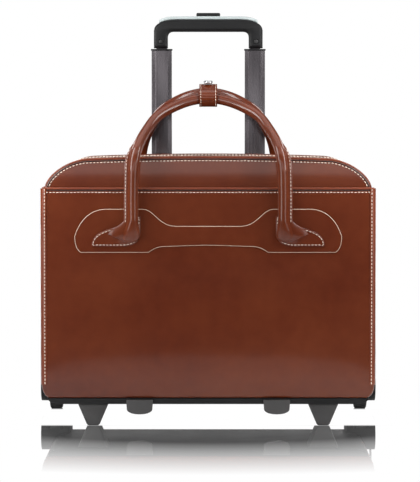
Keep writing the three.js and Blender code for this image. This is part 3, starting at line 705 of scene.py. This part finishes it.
tab_places = {}
for end, leg, body in (("front", 94, "front_shell"), ("rear", 91, "case")):
    low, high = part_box(f"{end}_tab_left")
    if end == "front":
        back_y, face_y = high.y, high.y - 0.0024
    else:
        back_y, face_y = low.y, low.y + 0.0024
    tab_places[end] = (leg, face_y)
    left_tab = ring_mesh(tab_rings(leg, back_y, face_y, tab_outline(leg)), caps=(True, True))
    for name, mesh in (("left", left_tab), ("right", mirror_x(left_tab))):
        add_piece(f"{end}_handle_tab_{name}", mesh, body, (leather,), (f"{end}_tab_{name}",))

# ---------------------------------------------------------------------------------------------
# Carry handles: leather rolled round a cord core, with its sewn seam left as a fin down the
# outer side of each leg, which spreads into the tab.
# ---------------------------------------------------------------------------------------------
def smooth_path(points, steps=7):
    """A centripetal spline through the points."""
    ends = [points[0] * 2 - points[1], *points, points[-1] * 2 - points[-2]]
    path = []
    for a, b, c, d in zip(ends, ends[1:], ends[2:], ends[3:]):
        first, middle, last = [max((q - p).length, 1e-7) ** 0.5 for p, q in ((a, b), (b, c), (c, d))]
        leave = ((b - a) / first - (c - a) / (first + middle) + (c - b) / middle) * middle
        arrive = ((c - b) / middle - (d - b) / (middle + last) + (d - c) / last) * middle
        for k in range(steps):
            s = k / steps
            path.append(b * (2 * s ** 3 - 3 * s ** 2 + 1) + leave * (s ** 3 - 2 * s ** 2 + s)
                        + c * (3 * s ** 2 - 2 * s ** 3) + arrive * (s ** 3 - s ** 2))
    return path + [points[-1]]


handle_radius = 0.0067
pivot_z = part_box("front_handle")[0].z
handle_steps = [(0, 0, 0), (0, 0.25, 0), (0.01, 0.44, 0.01), (0.035, 0.54, 0.05), (0.09, 0.64, 0.21),
                (0.18, 0.74, 0.43), (0.31, 0.845, 0.63), (0.52, 0.925, 0.81), (0.76, 0.98, 0.94), (1, 1, 1)]
arch_gap = 0.007


def handle_path(leg, leg_y, top_z, middle_y):
    side = 1 if leg_y > middle_y else -1
    lean = abs(leg_y - middle_y) - arch_gap
    half = [Vector((-leg * (1 - across), leg_y - side * lean * back, pivot_z + (top_z - pivot_z) * up))
            for across, up, back in handle_steps]
    return smooth_path(half + [Vector((-p.x, p.y, p.z)) for p in reversed(half[:-1])])


fin_wide = 0.0042
section_turns = [math.radians(a)
                 for a in (14, 32, 52, 74, 97, 120, 142, 165, 188, 211, 234, 258, 282, 304, 326, 344)]


def handle_section(fin, sweep=0.0):
    """Points as (outwards, away from the case); the fin is on the outer side."""
    points = [(handle_radius * math.cos(a), handle_radius * math.sin(a)) for a in section_turns]
    tip = [(0.93, -0.21), (0.99, -0.11), (1.0, 0.0), (0.99, 0.1)]
    wanted = [(handle_radius + fin_wide, -0.0013), (handle_radius + fin_wide + 0.0005, -0.0004),
              (handle_radius + fin_wide + 0.0003, 0.0006), (handle_radius + fin_wide - 0.0007, 0.0012)]
    for (ox, oy), (wx, wy) in zip(tip, wanted):
        points.append((handle_radius * ox * (1 - fin) + (wx + sweep) * fin,
                       handle_radius * oy * (1 - fin) + wy * fin))
    return points


foot_steps = [(0.028, 0.05), (0.0275, 0.3), (0.0255, 0.5), (0.022, 0.66), (0.017, 0.8), (0.011, 0.91),
              (0.005, 0.98)]
seams = {}


def rolled_handle(end, leg, leg_y, face_y, top_z, middle_y):
    """Lofted from the left tab over the arch; both ends sink into their tabs."""
    away = -1 if leg_y < middle_y else 1
    path = handle_path(leg, leg_y, top_z, middle_y)
    count = len(path)
    rings, seam = [], []
    for i, point in enumerate(path):
        along = (path[min(i + 1, count - 1)] - path[max(i - 1, 0)]).normalized()
        outwards = Vector((0, away, 0)).cross(along) * (1 if away < 0 else -1)
        outwards = (outwards - along * outwards.dot(along)).normalized()
        normal = along.cross(outwards).normalized()
        normal = normal if normal.y * away > 0 else -normal
        fin = 1 - ease(point.z, 0.338, 0.362)
        rings.append([point + outwards * u + normal * v for u, v in handle_section(fin)])
        if fin > 0.5:
            seam.append(point + outwards * (handle_radius + 0.0026) + normal * 0.0011)
    for first in (True, False):
        base = path[0] if first else path[-1]
        side = -1 if first else 1
        feet = []
        for drop, size in foot_steps:
            thick = handle_radius * size
            middle = Vector((base.x + side * drop * 0.12, face_y + away * thick * 0.95, base.z - drop))
            width = 1 + 1.1 * (drop / 0.028) * (1 - (drop / 0.028) ** 4)
            width *= 1 if size > 0.4 else 0.35
            feet.append([middle + Vector((side * u * width, 0, 0)) + Vector((0, away * v * size, 0))
                         for u, v in handle_section(1 - ease(drop, 0.012, 0.027),
                                                    0.012 * ease(drop, 0.0, 0.02))])
        if first:
            rings = feet + rings
        else:
            rings = rings + feet[::-1]
    seams[end] = seam
    return ring_mesh(rings, caps=(True, True))


middle_y = (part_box("front_panel")[0].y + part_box("rear_panel")[1].y) / 2
front_leg_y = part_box("front_tab_left")[1].y - 0.0024 - 0.0005 - handle_radius
rear_leg_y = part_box("rear_tab_left")[0].y + 0.0024 + 0.0005 + handle_radius
front_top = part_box("front_handle")[1].z - handle_radius
rear_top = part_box("rear_handle")[1].z - handle_radius
handles = {}
for end, leg_y, top_z, body, parent in (("front", front_leg_y, front_top, "front_handle", "front_shell"),
                                        ("rear", rear_leg_y, rear_top, "rear_handle", "case")):
    leg, face_y = tab_places[end]
    mesh = rolled_handle(end, leg / 1000, leg_y, face_y, top_z, middle_y)
    handles[end] = add_piece(f"{end}_rolled_handle", mesh, None, (leather,), (f"{end}_handle",))
    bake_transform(handles[end])

# ---------------------------------------------------------------------------------------------
# Sewing: cream waxed thread, one stitch every four millimetres or so, half sunk in the leather.
# Every seam's row is drawn here, one mesh for each moving body.
# ---------------------------------------------------------------------------------------------
thread = Finish("Waxed cream thread", Roughness=0.55)
thread.feed("Base Color", thread.blend(thread.noise(700.0), (0.72, 0.56, 0.45, 1), (0.92, 0.81, 0.70, 1)))


def add_node(tree, kind, settings=(), inputs=()):
    node = tree.nodes.new(kind)
    for key, value in dict(settings).items():
        setattr(node, key, value)
    for key, value in dict(inputs).items():
        if isinstance(value, bpy.types.NodeSocket):
            tree.links.new(value, node.inputs[key])
        else:
            node.inputs[key].default_value = value
    return node


def path_tree(name, sizes, make_unit):
    """Copies of one unit along every path of the mesh, their Z along it and their Y kept level."""
    tree = bpy.data.node_groups.new(name, "GeometryNodeTree")
    tree.interface.new_socket("Geometry", in_out="INPUT", socket_type="NodeSocketGeometry")
    tree.interface.new_socket("Pitch", in_out="INPUT", socket_type="NodeSocketFloat")
    for size in sizes:
        tree.interface.new_socket(size, in_out="INPUT", socket_type="NodeSocketFloat")
    tree.interface.new_socket("Finish", in_out="INPUT", socket_type="NodeSocketMaterial")
    tree.interface.new_socket("Geometry", in_out="OUTPUT", socket_type="NodeSocketGeometry")
    given = tree.nodes.new("NodeGroupInput").outputs
    curve = add_node(tree, "GeometryNodeMeshToCurve", (), {"Mesh": given["Geometry"]})
    spaced = add_node(tree, "GeometryNodeResampleCurve", {"mode": "LENGTH"},
                      {"Curve": curve.outputs["Curve"], "Length": given["Pitch"]})
    tangent = add_node(tree, "GeometryNodeInputTangent")
    along = add_node(tree, "FunctionNodeAlignRotationToVector", {"axis": "Z"},
                     {"Vector": tangent.outputs["Tangent"]})
    level = add_node(tree, "FunctionNodeAlignRotationToVector", {"axis": "Y", "pivot_axis": "Z"},
                     {"Rotation": along.outputs["Rotation"], "Vector": (0, 1, 0)})
    unit, scale = make_unit(tree, given)
    copies = add_node(tree, "GeometryNodeInstanceOnPoints", (),
                      {"Points": spaced.outputs["Curve"], "Instance": unit,
                       "Rotation": level.outputs["Rotation"], "Scale": scale})
    real = add_node(tree, "GeometryNodeRealizeInstances", (), {"Geometry": copies.outputs["Instances"]})
    coloured = add_node(tree, "GeometryNodeSetMaterial", (),
                        {"Geometry": real.outputs["Geometry"], "Material": given["Finish"]})
    output = tree.nodes.new("NodeGroupOutput")
    tree.links.new(coloured.outputs["Geometry"], output.inputs["Geometry"])
    return tree


def stitch_unit(tree, given):
    ball = add_node(tree, "GeometryNodeMeshUVSphere", (), {"Segments": 6, "Rings": 4, "Radius": 1.0})
    scale = add_node(tree, "ShaderNodeCombineXYZ", (),
                     {"X": given["Thickness"], "Y": given["Thickness"], "Z": given["Half length"]})
    return ball.outputs["Mesh"], scale.outputs["Vector"]


stitch_tree = path_tree("Sewing", ("Thickness", "Half length"), stitch_unit)


def along_paths(tree, paths, values, closed=False):
    """The tree's result on these paths, as one plain mesh."""
    points, edges = [], []
    for path in paths:
        start = len(points)
        points += [tuple(p) for p in path]
        edges += [(i, i + 1) for i in range(start, len(points) - 1)]
        if closed:
            edges.append((len(points) - 1, start))
    guide = bpy.data.meshes.new("guide")
    guide.from_pydata(points, edges, [])
    carrier = bpy.data.objects.new("guide", guide)
    bpy.context.scene.collection.objects.link(carrier)
    modifier = carrier.modifiers.new("path", "NODES")
    modifier.node_group = tree
    for item in tree.interface.items_tree:
        if item.in_out == "INPUT" and item.name in values:
            modifier[item.identifier] = values[item.name]
    result = bpy.data.meshes.new_from_object(carrier.evaluated_get(bpy.context.evaluated_depsgraph_get()))
    bpy.data.objects.remove(carrier)
    return result


def sewn(name, paths, body, pitch=0.0044, length=0.0033, thick=0.00045, closed=False):
    values = {"Pitch": pitch, "Thickness": thick, "Half length": length / 2, "Finish": thread.material}
    return add_piece(name, along_paths(stitch_tree, paths, values, closed), body, (thread.material,), ())


top_row = [(x, front_y - 0.0001 + panel_lean(z), z)
           for x, z in above(case_outline(0.0052), pocket_top + 0.003)]
stitch_drop = pocket_top - 0.0048
mouth_row = [(-0.2025, pocket_face - 0.0002, stitch_drop), (0.2025, pocket_face - 0.0002, stitch_drop)]
binding_rows = [[(side * (half_width - 0.0046), pocket_face - 0.0017, 0.057 + 0.243 * k / 30)
                 for k in range(31)]
                for side in (-1, 1)]
gusset_row = {end: [[(x, y, z) for x, z in above(case_outline(-0.0002), split_z + 0.004)]]
              for end, y in (("front", zip_front - 0.0028), ("rear", zip_rear + 0.0028))}
sewn("front_stitches", [top_row, mouth_row, *binding_rows, *gusset_row["front"]], "front_shell",
     length=0.0032, thick=0.00058)

tab_rows = {}
for end, (leg, face_y) in tab_places.items():
    out = -1 if end == "front" else 1
    inset = moved_in(tab_outline(leg), 0.0019)
    row = [(x, face_y + out * (tab_height(x, z, leg) + 0.0001), z) for x, z in inset]
    tab_rows[end] = [row, [(-x, y, z) for x, y, z in row]]
sewn("front_tab_stitches", tab_rows["front"], "front_shell", closed=True)
rear_row = [(x, rear_y + 0.0001 - panel_lean(z), z)
            for x, z in above(case_outline(0.0048), well_high.z + 0.004)]
sewn("rear_stitches", [rear_row, *gusset_row["rear"]], "case")
sewn("rear_tab_stitches", tab_rows["rear"], "case", closed=True)
for end, body, parent in (("front", "front_handle", "front_shell"), ("rear", "rear_handle", "case")):
    left = [p for p in seams[end] if p.x < 0]
    right = [p for p in seams[end] if p.x > 0]
    seam_piece = sewn(f"{end}_handle_stitches", [left, right], None)
    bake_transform(seam_piece)

# ---------------------------------------------------------------------------------------------
# Strap: a leather band sewn round the rear handle's arch, whose flap folds over both arches
# and closes on a domed metal snap.
# ---------------------------------------------------------------------------------------------
steel_finish = Finish("Polished steel", Metallic=1.0)
steel_cloud = steel_finish.noise(160.0, 3.0)
steel_finish.feed("Base Color", steel_finish.blend(steel_cloud, (0.62, 0.62, 0.63, 1), (0.78, 0.78, 0.79, 1)))
steel_finish.feed("Roughness", steel_cloud * 0.12 + 0.14)
steel = steel_finish.material


def body_of(node):
    bodies = frame["record"]["behaviour"]["bodies"]
    return next(body for body, nodes in bodies.items() if node in nodes)


def softened(node, edge, finish, segments=2, angle=30, name=None):
    """The node's own shape with its doubled points merged, flat faces joined and edges rounded."""
    work = bmesh.new()
    work.from_mesh(bpy.data.objects[node].data)
    bmesh.ops.remove_doubles(work, verts=work.verts, dist=1e-6)
    bmesh.ops.dissolve_limit(work, angle_limit=math.radians(2), verts=work.verts, edges=work.edges)
    mesh = bpy.data.meshes.new(node)
    work.to_mesh(mesh)
    work.free()
    round_edges = ("BEVEL", {"width": edge, "segments": segments, "limit_method": "ANGLE",
                             "angle_limit": math.radians(angle)})
    return add_piece(name or f"{node}_finished", baked(mesh, [round_edges]), body_of(node), (finish,),
                     (node,))


softened("strap_band", 0.0006, leather, angle=50, name="strap_band_leather")
softened("strap_flap", 0.0006, leather, angle=50, name="strap_flap_leather")
softened("snap_cap", 0.0021, steel, segments=4, name="strap_snap")

strap_out = handle_radius + 0.0026 + 0.002
strap_slope = math.atan2(rear_top - front_top, 2 * arch_gap)


def strap_arc(start, end, centre_y, centre_z, steps=14):
    return [(centre_y + strap_out * math.cos(strap_slope + math.radians(start + (end - start) * k / steps)),
             centre_z + strap_out * math.sin(strap_slope + math.radians(start + (end - start) * k / steps)))
            for k in range(steps + 1)]


cut_start = Vector((middle_y - arch_gap - handle_radius - 0.008, front_top - handle_radius - 0.001))
cut_end = Vector((middle_y + arch_gap + 0.008, rear_top + handle_radius + 0.008))


def over_cut(y, z, room):
    along = cut_end - cut_start
    return (z - cut_start.y) - (y - cut_start.x) * along.y / along.x > room


def strap_rows(points):
    return [[(side * 0.0096, y, z) for y, z in points] for side in (-1, 1)]


flap_points = [p for p in strap_arc(-90, 90, middle_y + arch_gap, rear_top, 24) if over_cut(*p, 0.001)]
flap_points += [p for p in strap_arc(90, 270, middle_y - arch_gap, front_top, 24) if over_cut(*p, 0.001)]
band_points = [p for p in strap_arc(90, 270, middle_y - arch_gap, front_top, 24) if not over_cut(*p, -0.001)]
band_points += [p for p in strap_arc(-90, 90, middle_y + arch_gap, rear_top, 24) if not over_cut(*p, -0.001)]
sewn("strap_flap_stitches", strap_rows(flap_points), "strap_flap", 0.0036, 0.0027)
sewn("strap_band_stitches", strap_rows(band_points), "rear_handle", 0.0036, 0.0027)

# ---------------------------------------------------------------------------------------------
# Base: a black moulded tray screwed under the leather, two grey clips on its front and two
# tapered grey feet that stand the case level with its wheels.
# ---------------------------------------------------------------------------------------------
def moulded(name, dark, light, rough, grain=0.00005, gloss=0.5):
    finish = Finish(name, Specular_IOR_Level=gloss)
    fine = finish.noise(1600.0, 2.0)
    broad = finish.noise(25.0, 2.0)
    finish.feed("Base Color", finish.blend((fine * 0.4 + broad * 0.6).clamp(0.3, 0.7), dark, light))
    finish.feed("Roughness", broad * 0.16 + rough)
    finish.bump(fine, grain)
    return finish.material


black_plastic = moulded("Black moulding", (0.004, 0.004, 0.004, 1), (0.010, 0.010, 0.011, 1), 0.42,
                        gloss=0.25)
grey_plastic = moulded("Grey moulding", (0.035, 0.034, 0.034, 1), (0.062, 0.060, 0.060, 1), 0.36)
softened("base_tray", 0.0014, black_plastic, segments=3)
for side in ("left", "right"):
    softened(f"front_foot_{side}", 0.0022, grey_plastic, segments=3)
    softened(f"base_clip_{side}", 0.0012, grey_plastic, segments=3)

# ---------------------------------------------------------------------------------------------
# Wheels: rubber tyres on grey cores, turning on steel pins inside black housings let into the
# lower rear corners.
# ---------------------------------------------------------------------------------------------
rubber = moulded("Tyre rubber", (0.006, 0.006, 0.006, 1), (0.016, 0.015, 0.015, 1), 0.62, 0.0001)
for side in ("left", "right"):
    softened(f"wheel_housing_{side}", 0.0026, black_plastic, segments=3)
    softened(f"wheel_tyre_{side}", 0.0022, rubber, segments=3)
    softened(f"wheel_core_{side}", 0.0008, grey_plastic)
    softened(f"wheel_bearing_{side}", 0.0004, steel)

# ---------------------------------------------------------------------------------------------
# Trolley: gunmetal stages with a bulge between two wings, in sleeves fixed behind the case
# under a sewn leather cover with a black bezel.
# ---------------------------------------------------------------------------------------------
gunmetal_finish = Finish("Anodised gunmetal", Metallic=1.0)
brushed_at = gunmetal_finish.node("ShaderNodeMapping", {}, Vector=gunmetal_finish.place(),
                                  Scale=(900, 900, 6))
brushed = gunmetal_finish.noise(1.0, 2.0, at=brushed_at)
tone = gunmetal_finish.noise(9.0, 2.0)
gunmetal_finish.feed("Base Color", gunmetal_finish.blend((brushed * 0.6 + tone * 0.4).clamp(0.2, 0.8),
                                                         (0.085, 0.077, 0.084, 1), (0.17, 0.155, 0.165, 1)))
gunmetal_finish.feed("Roughness", brushed * 0.12 + 0.2)
gunmetal_finish.bump(brushed, 0.00002)
gunmetal = gunmetal_finish.material
for side in ("left", "right"):
    softened(f"sleeve_tube_{side}", 0.0006, gunmetal)
    softened(f"middle_tube_{side}", 0.0012, gunmetal, segments=3)
    softened(f"inner_tube_{side}", 0.0006, gunmetal)
    softened(f"collar_{side}", 0.0004, black_plastic)
softened("tube_bezel", 0.0006, black_plastic)

cover_low, cover_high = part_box("trolley_cover")
cover_round = 0.003


def cover_section():
    """The cover's outer face seen from above, from the left edge round the back to the right."""
    left = [(cover_low.x, cover_low.y), (cover_low.x, (cover_low.y + cover_high.y) / 2)]
    turn = [(cover_low.x + cover_round * (1 - math.cos(t * math.pi / 8)),
             cover_high.y - cover_round * (1 - math.sin(t * math.pi / 8))) for t in range(5)]
    back = [(x, cover_high.y) for x in (-0.06, -0.04, -0.02)]
    half = left + turn + back
    return half + [(0, cover_high.y)] + [(-x, y) for x, y in reversed(half)]


cover_heights = [cover_low.z + (cover_high.z - cover_low.z) * k / 24 for k in range(25)]
cover_rings = [[(x, y, z) for x, y in cover_section()] for z in cover_heights]
cover_wall = ("SOLIDIFY",
              {"thickness": 0.002, "offset": -1.0, "material_offset": 1, "material_offset_rim": 0})
cover_mesh = baked(ring_mesh(cover_rings, closed_ring=False, caps=(False, False)), [cover_wall],
                   (leather, lining))
add_piece("trolley_cover_leather", cover_mesh, "case", (), ("trolley_cover",))
cover_rows = [[(side * (cover_high.x - 0.006), cover_high.y + 0.0001, z) for z in cover_heights]
              for side in (-1, 1)]
cover_rows.append([(x, cover_high.y + 0.0001, cover_high.z - 0.005) for x in (-0.072, -0.03, 0.03, 0.072)])
sewn("trolley_cover_stitches", cover_rows, "case")

# ---------------------------------------------------------------------------------------------
# Grip: a black moulded yoke over both inner tubes, screwed on from the front, with a pale
# insert along its top and the release button in the middle.
# ---------------------------------------------------------------------------------------------
grip_low, grip_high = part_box("grip_body")
grip_half, grip_bottom, grip_top = grip_high.x * 1000, grip_low.z * 1000, grip_high.z * 1000
grip_under = grip_bottom + 22
grip_round = 0.0036
leg_inside, shoulder = grip_half - 18.5, grip_half - 24
grip_outline = traced((-grip_half, grip_bottom), ((-grip_half, grip_under + 1),),
                      ((-grip_half, grip_top - 4), (-shoulder - 8, grip_top), (-shoulder + 6, grip_top)),
                      ((shoulder - 6, grip_top),),
                      ((shoulder + 8, grip_top), (grip_half, grip_top - 4), (grip_half, grip_under + 1)),
                      ((grip_half, grip_bottom),), ((leg_inside, grip_bottom),),
                      ((leg_inside, grip_under - 8),),
                      ((leg_inside, grip_under), (leg_inside - 8, grip_under)),
                      ((-leg_inside + 8, grip_under),),
                      ((-leg_inside, grip_under), (-leg_inside, grip_under - 8)),
                      ((-leg_inside, grip_bottom),),
                      ((-grip_half, grip_bottom),))
grip_solid = cut_sheet(grip_outline, grip_high.y, grip_low.y, grip_round)


def with_screw_holes(mesh):
    holes = []
    for side in ("left", "right"):
        low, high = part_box(f"grip_screw_{side}")
        place = (low + high) / 2
        work = bmesh.new()
        bmesh.ops.create_cone(work, cap_ends=True, segments=24, radius1=0.0034, radius2=0.0034, depth=0.008)
        for vertex in work.verts:
            x, y, z = vertex.co
            vertex.co = (place.x + x, grip_low.y - 0.001 - z, place.z + y)
        bmesh.ops.recalc_face_normals(work, faces=work.faces)
        hole_mesh = bpy.data.meshes.new("hole")
        work.to_mesh(hole_mesh)
        work.free()
        hole = bpy.data.objects.new("hole", hole_mesh)
        bpy.context.scene.collection.objects.link(hole)
        holes.append(hole)
    result = baked(mesh, [("BOOLEAN", {"operation": "DIFFERENCE", "object": hole, "solver": "EXACT"})
                          for hole in holes])
    for hole in holes:
        bpy.data.objects.remove(hole)
    return result


add_piece("grip_moulding", with_screw_holes(grip_solid), "upper_stage", (black_plastic,), ("grip_body",))
pale_insert = moulded("Pale insert", (0.36, 0.41, 0.41, 1), (0.52, 0.57, 0.57, 1), 0.3)
softened("grip_insert", 0.0012, pale_insert, segments=3)
softened("release_button", 0.0018, black_plastic, segments=3)
blackened = moulded("Blackened screw", (0.01, 0.01, 0.01, 1), (0.03, 0.03, 0.03, 1), 0.3)
for side in ("left", "right"):
    softened(f"grip_screw_{side}", 0.0004, blackened)

# ---------------------------------------------------------------------------------------------
# Zip: two woven black tapes sewn inside the gussets' edges, each with a row of metal teeth,
# and a slider with its pull at the foot of the right-hand side.
# ---------------------------------------------------------------------------------------------
tape_finish = Finish("Woven tape", Roughness=0.85)
tape_rows = [tape_finish.node("ShaderNodeTexWave", {"bands_direction": way}, Vector=tape_finish.place(),
                              Scale=330.0,
                              Distortion=0.4, output="Fac") for way in ("Y", "DIAGONAL")]
tape_weave = tape_rows[0] * tape_rows[1]
tape_finish.feed("Base Color",
                 tape_finish.blend(tape_weave, (0.008, 0.008, 0.008, 1), (0.03, 0.029, 0.029, 1)))
tape_finish.bump(tape_weave, 0.0002)


def tooth_unit(tree, given):
    cube = add_node(tree, "GeometryNodeMeshCube", (), {"Size": (1, 1, 1)})
    scale = add_node(tree, "ShaderNodeCombineXYZ", (),
                     {"X": given["Proud"], "Y": given["Reach"], "Z": given["Thickness"]})
    return cube.outputs["Mesh"], scale.outputs["Vector"]


tooth_tree = path_tree("Zip teeth", ("Proud", "Reach", "Thickness"), tooth_unit)
for end, body in (("front", "front_shell"), ("rear", "case")):
    low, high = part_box(f"zip_tape_{end}")
    tape_ys = [low.y + (high.y - low.y) * k / 4 for k in range(5)]
    tape = ring_mesh([at_y(case_outline(0.001), y) for y in tape_ys], keep=lambda c: c.z > split_z + 0.001,
                     caps=(False, False))
    add_piece(f"zip_{end}_tape", baked(tape, [("SOLIDIFY", {"thickness": 0.0009, "offset": -1.0})]), body,
              (tape_finish.material,), (f"zip_tape_{end}",))
    inner = high.y if end == "front" else low.y
    away = -1 if end == "front" else 1
    chain = [(x, inner + away * 0.0011, z) for x, z in above(case_outline(0.0008), split_z + 0.002)]
    if end == "rear":
        chain = chain[:1] + [tuple((Vector(a) + Vector(b)) / 2) for a, b in zip(chain, chain[1:])]
    teeth = along_paths(tooth_tree, [chain],
                        {"Pitch": 0.0021, "Proud": 0.0014, "Reach": 0.0022, "Thickness": 0.0011,
                                              "Finish": steel})
    add_piece(f"zip_{end}_teeth", teeth, body, (steel,), (), shade_angle=10)
softened("zip_slider", 0.0008, steel, segments=3)
softened("zip_pull", 0.0006, steel, segments=3)

# ---------------------------------------------------------------------------------------------
# Inside: a padded laptop sleeve sewn to the rear panel and a gathered organiser pocket on the
# front one, both in the dark lining cloth.
# ---------------------------------------------------------------------------------------------
sleeve_low, sleeve_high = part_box("laptop_sleeve")
pad_thick = 0.006


def plain_box(low, high):
    work = bmesh.new()
    bmesh.ops.create_cube(work, size=1.0)
    for vertex in work.verts:
        vertex.co = Vector([low[i] + (high[i] - low[i]) * (vertex.co[i] + 0.5) for i in range(3)])
    mesh = bpy.data.meshes.new("block")
    work.to_mesh(mesh)
    work.free()
    return mesh


pad_block = plain_box((sleeve_low.x, sleeve_low.y + 0.0012, sleeve_low.z),
                      (sleeve_high.x, sleeve_low.y + 0.0052, sleeve_high.z))
pad_mesh = baked(pad_block, [("REMESH", {"mode": "VOXEL", "voxel_size": 0.0045}),
                             ("SMOOTH", {"factor": 0.5, "iterations": 3})])
pad_start = [vertex.co.copy() for vertex in pad_mesh.vertices]
blown = bpy.data.objects.new("pad", pad_mesh)
bpy.context.scene.collection.objects.link(blown)
cloth = blown.modifiers.new("cloth", "CLOTH")
cloth.settings.use_pressure = True
cloth.settings.uniform_pressure_force = 3.0
cloth.settings.tension_stiffness = 25
cloth.settings.effector_weights.gravity = 0
cloth.point_cache.frame_start, cloth.point_cache.frame_end = 1, 16
for step in range(1, 17):
    bpy.context.scene.frame_set(step)
puffed = bpy.data.meshes.new_from_object(blown.evaluated_get(bpy.context.evaluated_depsgraph_get()))
bpy.data.objects.remove(blown)
bpy.context.scene.frame_set(1)
most = 0.0035
for vertex, start in zip(puffed.vertices, pad_start):
    shift = vertex.co - start
    edge = min(sleeve_high.x - abs(start.x), start.z - sleeve_low.z, sleeve_high.z - start.z)
    limit = most * ease(edge, 0.0, 0.02)
    if shift.length > limit:
        shift = shift * (limit / shift.length)
    vertex.co = start + shift
pad_mesh = puffed
pad = add_piece("laptop_pad", pad_mesh, "case", (lining,), ("laptop_sleeve",), shade_angle=80)

band_outline = [(sleeve_low.x + 0.001, sleeve_high.z - 0.012), (sleeve_low.x + 0.001, sleeve_low.z + 0.001),
                (sleeve_high.x - 0.001, sleeve_low.z + 0.001), (sleeve_high.x - 0.001, sleeve_high.z - 0.012)]
band_points = [p for a, b in zip(band_outline, band_outline[1:])
               for p in straight(a, b, 24)] + [band_outline[-1]]
band_depths = [sleeve_low.y + pad_thick * 0.5 + (sleeve_high.y - sleeve_low.y - pad_thick * 0.5) * k / 6
               for k in range(7)]
band_rings = []
for k, y in enumerate(band_depths):
    pull = 0.003 * math.sin(math.pi * k / 6)
    band_rings.append([(x * (1 - pull / 0.185), y, z + (pull if z < sleeve_low.z + 0.002 else 0))
                       for x, z in band_points])
gusset = ring_mesh(band_rings, closed_ring=False, caps=(False, False))
add_piece("laptop_sleeve_gusset", baked(gusset, [("SOLIDIFY", {"thickness": 0.0014, "offset": 0.0})]), "case",
          (lining,), ())

org_low, org_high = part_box("organiser_pocket")
org_columns, org_rows = 60, 18
org_rings = []
for k in range(org_rows + 1):
    share = k / org_rows
    z = org_low.z + (org_high.z - org_low.z) * share
    ring = []
    for i in range(org_columns + 1):
        across = i / org_columns
        x = org_low.x + (org_high.x - org_low.x) * across
        edge = min(across, 1 - across) * (org_high.x - org_low.x)
        pocket = abs(math.sin(across * math.pi * 3))
        out = 0.0012 + 0.0085 * ease(edge, 0, 0.012) * (0.35 + 0.65 * pocket ** 0.5) * ease(share, -0.02,
                                                                                            0.14)
        ring.append((x, org_low.y + out, z))
    org_rings.append(ring)
organiser = baked(ring_mesh(org_rings, closed_ring=False, caps=(False, False)),
                  [("SOLIDIFY", {"thickness": 0.0011, "offset": 0.0})])
add_piece("organiser_pocket_cloth", organiser, "front_shell", (lining,), ("organiser_pocket",),
          shade_angle=60)

# ---------------------------------------------------------------------------------------------
# Hidden metal and brackets: pins, rods, spring, bar and the bracket under the sleeves keep
# their own shapes.
# ---------------------------------------------------------------------------------------------
for nodes, finish in ((("axle_pin_left", "axle_pin_right", "release_rod_left", "release_rod_right",
                        "release_spring"), steel),
                      (("release_bar", "tube_bracket"), grey_plastic)):
    for node in nodes:
        for material_slot in bpy.data.objects[node].material_slots:
            material_slot.material = finish
